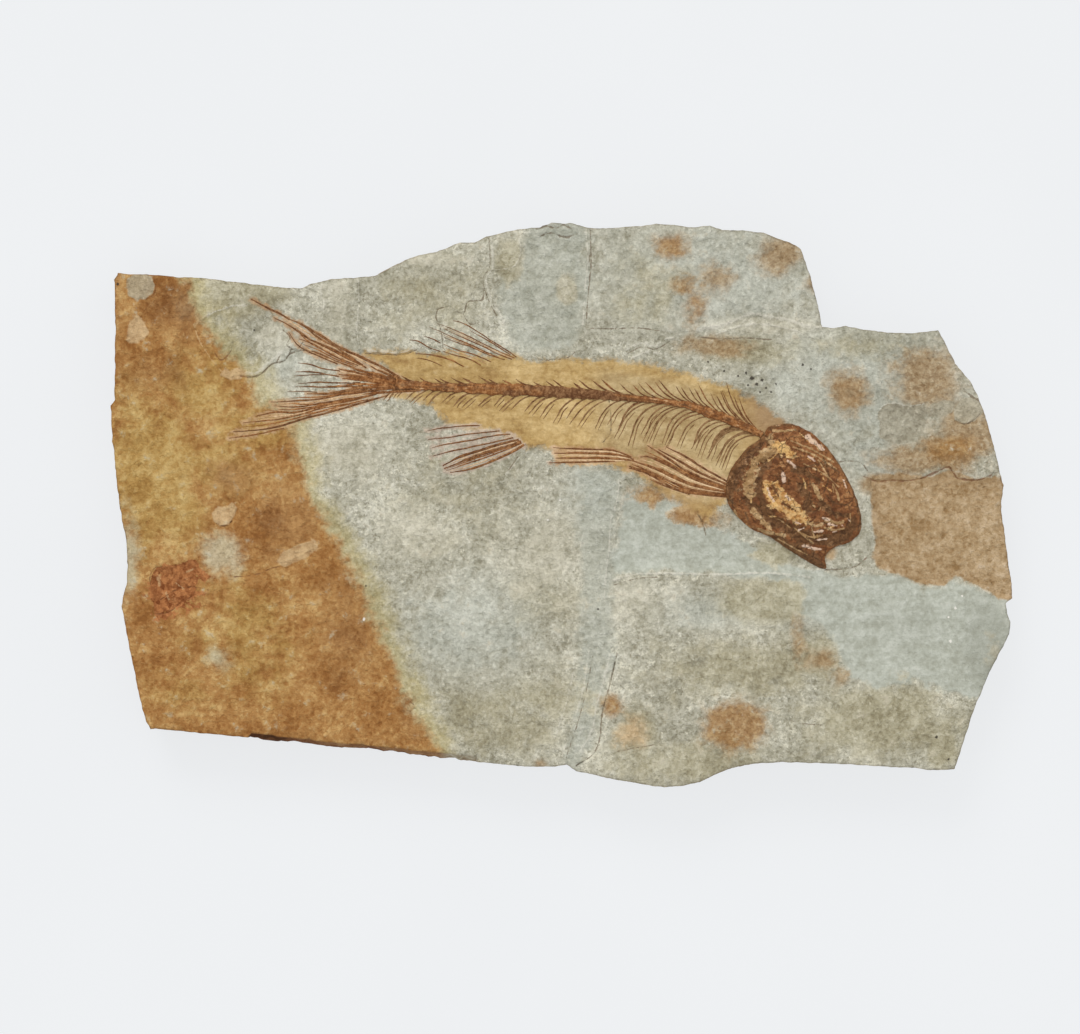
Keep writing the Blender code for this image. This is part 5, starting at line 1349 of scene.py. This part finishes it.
class Strands:
    """Collects thin raised bones that lie on the stone, as closed low ridges."""

    def __init__(self, tree):
        self.tree = tree
        self.corners, self.faces, self.tones = [], [], []

    def skin(self, first, stations, size):
        """Closes the surface over a run of sections."""
        for i in range(stations - 1):
            low = first + i * size
            for k in range(size):
                m = (k + 1) % size
                self.faces.append((low + k, low + m, low + size + m, low + size + k))
        self.faces.append(tuple(first + k for k in reversed(range(size))))
        self.faces.append(tuple(first + (stations - 1) * size + k for k in range(size)))

    def add(self, path, half_width, height, tone, tip=0.35, root=0.9, spacing=0.28):
        """path runs from the tip to the root; tip and root are the shares of width at its ends."""
        rough = [catmull(path, i / 40) for i in range(41)]
        length = sum((b - a).length for a, b in zip(rough, rough[1:]))
        count = max(4, round(length / spacing))
        first = len(self.corners)
        middle = [catmull(path, i / count) for i in range(count + 1)]
        flat = [tuple(spot) for spot in middle]
        uneven, drift = clouds(flat, 0.8, 3, first % 97), clouds(flat, 2.6, 2, first % 89 + 7)
        for i, spot in enumerate(middle):
            share = i / count
            across = crosswise(middle, i)
            swell = tip + (1 - tip) * smooth_step(share, 0.0, 0.35)
            swell *= 1 - smooth_step(share, 0.85, 1.0) * (1 - root)
            swell *= max(0.5, 1.0 + 0.2 * uneven[i] + 0.3 * drift[i])
            spot = spot + across * (0.12 * half_width * uneven[i] + 0.06 * drift[i])
            base = ground(self.tree, spot.x, spot.y)
            for offset, lift in STRAND_SECTION:
                place = spot + across * (offset * half_width * swell)
                self.corners.append((place.x, place.y, base + height * lift * (0.45 + 0.55 * swell)))
                self.tones.append(tone + 0.2 * uneven[i] + 0.3 * drift[i] - 0.12 * (1 - share))
        self.skin(first, count + 1, len(STRAND_SECTION))

    def make(self, name, finish, stands_for):
        """All that was collected, as one piece."""
        make_object(name, self.corners, self.faces, {"tone": self.tones}, finish, stands_for)


def halfway(first, second):
    """A path midway between two neighbouring rays."""
    return [tuple((catmull(first, i / 6) + catmull(second, i / 6)) / 2) for i in range(7)]


def make_fins(tree):
    """Every ray of the fins, with thinner rays between some of them."""
    finish = bone_finish("ray_bone", 0.65)
    for name, rays in FINS.items():
        strands = Strands(tree)
        for path, half_width, tone in rays:
            wide = half_width * RAY_WIDTH_SHARES[name]
            strands.add(path, wide, RAY_HEIGHT * (0.7 + half_width * 1.4), tone + RAY_TONE_SHIFTS[name])
        for first, second, half_width, tone in BETWEEN_RAYS[name]:
            path = halfway(rays[first][0], rays[second][0])
            strands.add(path, half_width * 0.9, RAY_HEIGHT * 0.7, tone + 0.15, tip=0.2, root=0.6)
        strands.make(f"{name}_rays", finish, name)


def rib_path(share, draw):
    """A rib's line from its tip to its root on the lower edge of the backbone."""
    root = catmull(BACKBONE_LINE, share)
    ahead = catmull(BACKBONE_LINE, min(share + 0.01, 1.0)) - catmull(BACKBONE_LINE, max(share - 0.01, 0.0))
    lean = math.degrees(math.atan2(ahead.y, ahead.x))
    root = root + Vector((0.0, -0.75 * between(BACKBONE_HALF_WIDTHS, share)))
    forward = smooth_step(share, 0.3, 0.62)
    length = (2.9 + 1.2 * smooth_step(share, 0.0, 0.3) + 4.6 * forward) * draw.uniform(0.72, 1.12)
    begin = 196 + lean * 0.8 + draw.uniform(-7, 7)
    finish = 227 + lean * 0.2 + 22 * forward + draw.uniform(-6, 6)
    points = [root]
    for i in range(RIB_STEPS):
        turn = begin + (finish - begin) * min(1.0, 1.5 * (i + 0.5) / RIB_STEPS)
        points.append(points[-1] + heading(turn) * length / RIB_STEPS)
    return points[::-1]


def spine_path(share, draw):
    """A neural spine's line from its tip to its root on the upper edge of the backbone."""
    root = catmull(BACKBONE_LINE, share)
    root = root + Vector((0.0, 0.6 * between(BACKBONE_HALF_WIDTHS, share)))
    forward = smooth_step(share, 0.5, 1.0)
    turn = 160 - 14 * smooth_step(share, 0.35, 0.6) - 26 * forward + draw.uniform(-3, 3)
    length = (4.2 + 1.2 * smooth_step(share, 0.4, 0.7) + 2.4 * forward) * draw.uniform(0.65, 1.12)
    middle = root + heading(turn + SPINE_BEND) * length * 0.5
    return [middle + heading(turn - SPINE_BEND) * length * 0.5, middle, root]


def make_backbone(tree):
    """The column with its ribs and neural spines."""
    draw = random.Random(5)
    strands = Strands(tree)
    for i in range(RIB_COUNT):
        share = RIBS_FROM + RIBS_SPAN * (i + draw.uniform(-0.2, 0.2)) / (RIB_COUNT - 1)
        path = rib_path(share, draw)
        width = RIB_HALF_WIDTH * draw.uniform(0.8, 1.3)
        strands.add(path, width, RIB_HEIGHT, draw.uniform(-1.0, -0.4), tip=0.3, root=0.9)
        if draw.random() < SECOND_RIB_SHARE:
            beside = [point + Vector((draw.uniform(0.42, 0.62), -0.25)) for point in path[:4]]
            strands.add(beside, width * 0.6, RIB_HEIGHT * 0.7, draw.uniform(-1.2, -0.6), tip=0.4, root=0.3)
    for i in range(SPINE_COUNT):
        share = SPINES_FROM + SPINES_SPAN * (i + draw.uniform(-0.2, 0.2)) / (SPINE_COUNT - 1)
        broad = 1.3 if share < 0.55 else 0.9
        width = RIB_HALF_WIDTH * broad * draw.uniform(0.8, 1.15)
        strands.add(spine_path(share, draw), width, RIB_HEIGHT, draw.uniform(-0.3, 0.5), tip=0.25, root=1.1)

    # The column itself: a low ribbon with two grooves and a bead for each vertebra
    first, size = len(strands.corners), len(COLUMN_SECTION)
    middle = [catmull(BACKBONE_LINE, i / BACKBONE_STATIONS) for i in range(BACKBONE_STATIONS + 1)]
    for i, spot in enumerate(middle):
        share = i / BACKBONE_STATIONS
        across = crosswise(middle, i)
        bead = abs(math.sin(math.pi * VERTEBRAE * share)) ** 0.5
        half = between(BACKBONE_HALF_WIDTHS, share) * (0.9 + 0.1 * bead)
        base = ground(tree, spot.x, spot.y)
        spots = [tuple(spot + across * (offset * half)) for offset, _ in COLUMN_SECTION]
        uneven, edge = clouds(spots, 0.9, 4, 71), clouds(spots, 1.5, 3, 72)
        streaks = clouds([(share * 22.0, k * 0.9) for k in range(size)], 1.0, 3, 73)
        purple = smooth_step(share, 0.28, 0.42) * (1 - smooth_step(share, 0.5, 0.62))
        split = smooth_step(share, 0.49, 0.52) * (1 - smooth_step(share, 0.62, 0.68))
        for k, (offset, lift) in enumerate(COLUMN_SECTION):
            place = spot + across * (offset * half * (1.0 + 0.25 * edge[k]))
            high = BACKBONE_HEIGHT * (0.75 + 0.15 * bead + 0.25 * uneven[k]) * lift
            strands.corners.append((place.x, place.y, base + high))
            tone = 0.7 - 0.7 * purple + (0.35 * uneven[k] + 0.8 * streaks[k]) * (1.3 - purple)
            tone += 0.9 * split * math.exp(-(((offset - 0.3) / 0.22) ** 2)) - 0.2 * (1 - bead)
            tone -= 0.5 * (abs(offset) > 0.9)
            strands.tones.append(tone + (0.25 if share < 0.25 else 0.0) * edge[k])
    strands.skin(first, BACKBONE_STATIONS + 1, size)
    strands.make("backbone_ribs_and_spines", bone_finish("backbone_bone", 0.6), "backbone_and_ribs")


def fine_strokes(centre, edge):
    """Short thin streaks that run round the skull, as its thin plates of bone do."""
    draw = random.Random(9)
    strokes = []
    for _ in range(FINE_STROKES):
        kind, lift = draw.choice((("dark", -0.08), ("dark", -0.08), ("pale", 0.05), ("red", 0.06),
                                  ("gold", 0.06)))
        share, start, length = draw.uniform(0.3, 0.94), draw.random(), draw.uniform(0.02, 0.07)
        drift = draw.uniform(-0.1, 0.1)
        line = []
        for step in range(4):
            rim = edge[int((start + length * step / 3) * len(edge)) % len(edge)]
            line.append(tuple(centre + (rim - centre) * (share + drift * step / 3)))
        strokes.append((kind, draw.uniform(0.08, 0.15), lift, line))
    return strokes


def make_skull():
    """The domed skull, with its plates and strokes as relief."""
    closed = SKULL_OUTLINE + SKULL_OUTLINE[:1]
    edge = np.array([tuple(catmull(closed, i / SKULL_EDGE_POINTS)) for i in range(SKULL_EDGE_POINTS)])
    centre = edge.mean(axis=0)
    edge = centre + (edge - centre) * (1 + 0.008 * clouds(edge, 1.2, 3, 31)[:, None])
    outline = edge.tolist()
    spots = np.concatenate([edge, grid_spots(SKULL_CELL, outline, 0.5 * SKULL_CELL, 24)])
    places, faces = triangulate(spots, SKULL_EDGE_POINTS)
    masks, rise = mark_masks(places, SKULL_STROKES + fine_strokes(centre, edge), 0.45)
    inside = np.clip(inside_by(places, outline), 0.0, None)
    bulge = (1 - np.clip(1 - inside / SKULL_SLOPE, 0.0, 1.0) ** 2.6) ** 0.7
    dome = SKULL_RIM_HEIGHT + (SKULL_HEIGHT - SKULL_RIM_HEIGHT) * bulge
    fade = smooth_step(inside, 0.0, 0.8)
    lumps = 0.15 * clouds(places, 2.4, 4, 33) + 0.10 * clouds(places, 0.8, 4, 34)
    plates = clouds(places, 2.0, 5, 35)
    for level in (-0.3, 0.1, 0.5):
        lumps += 0.07 * smooth_step(plates, level, level + 0.06)
    heights = FACE_HEIGHT - 0.1 + np.maximum(dome + (rise + lumps - 0.1) * fade, 0.2)
    corners = lifted(places, heights)
    faces = [tuple(face) for face in faces.tolist()]
    below = len(corners)
    corners += [(x, y, FACE_HEIGHT - 0.6) for x, y in outline]
    ring = [below + i for i in range(SKULL_EDGE_POINTS)]
    faces += wall(list(range(SKULL_EDGE_POINTS)), ring)
    faces.append(tuple(ring))
    for kind in masks:
        masks[kind] = np.concatenate([masks[kind], masks[kind][:SKULL_EDGE_POINTS]])
    make_object("skull_mottled", corners, faces, masks, skull_finish(), "skull")


def make_floor():
    """The sheet under the slab."""
    mesh = bpy.data.meshes.new("floor")
    corners = [(x * FLOOR_HALF, y * FLOOR_HALF, 0) for x, y in ((-1, -1), (1, -1), (1, 1), (-1, 1))]
    mesh.from_pydata(corners, [], [(0, 1, 2, 3)])
    mesh.materials.append(floor_finish())
    floor = put("floor", mesh)


def make_camera():
    """A camera straight above, as far away as its lens needs."""
    data = bpy.data.cameras.new("camera")
    data.lens = CAMERA_LENS
    data.sensor_width = CAMERA_SENSOR
    camera = put("camera", data)
    frame_width = IMAGE_SIZE[0] * MM_PER_PIXEL
    away = frame_width * CAMERA_LENS / CAMERA_SENSOR
    camera.location = (CAMERA_AIM[0] * MM, CAMERA_AIM[1] * MM, (FACE_HEIGHT + away) * MM)
    bpy.context.scene.camera = camera


def make_light():
    """A pale even sky and one broad soft sun from the top left."""
    world = bpy.data.worlds.new("studio")
    world.use_nodes = True
    world.node_tree.nodes["Background"].inputs["Color"].default_value = SKY_COLOUR
    bpy.context.scene.world = world
    sun = bpy.data.lights.new("soft_sun", "SUN")
    sun.energy = SUN_STRENGTH
    sun.angle = SUN_WIDTH
    sun.color = SUN_COLOUR
    put("soft_sun", sun).rotation_euler = SUN_TURN


bpy.context.scene.view_settings.view_transform = "Standard"
stone_tree = make_stone()
make_skull()
make_backbone(stone_tree)
make_fins(stone_tree)
make_floor()
make_camera()
make_light()
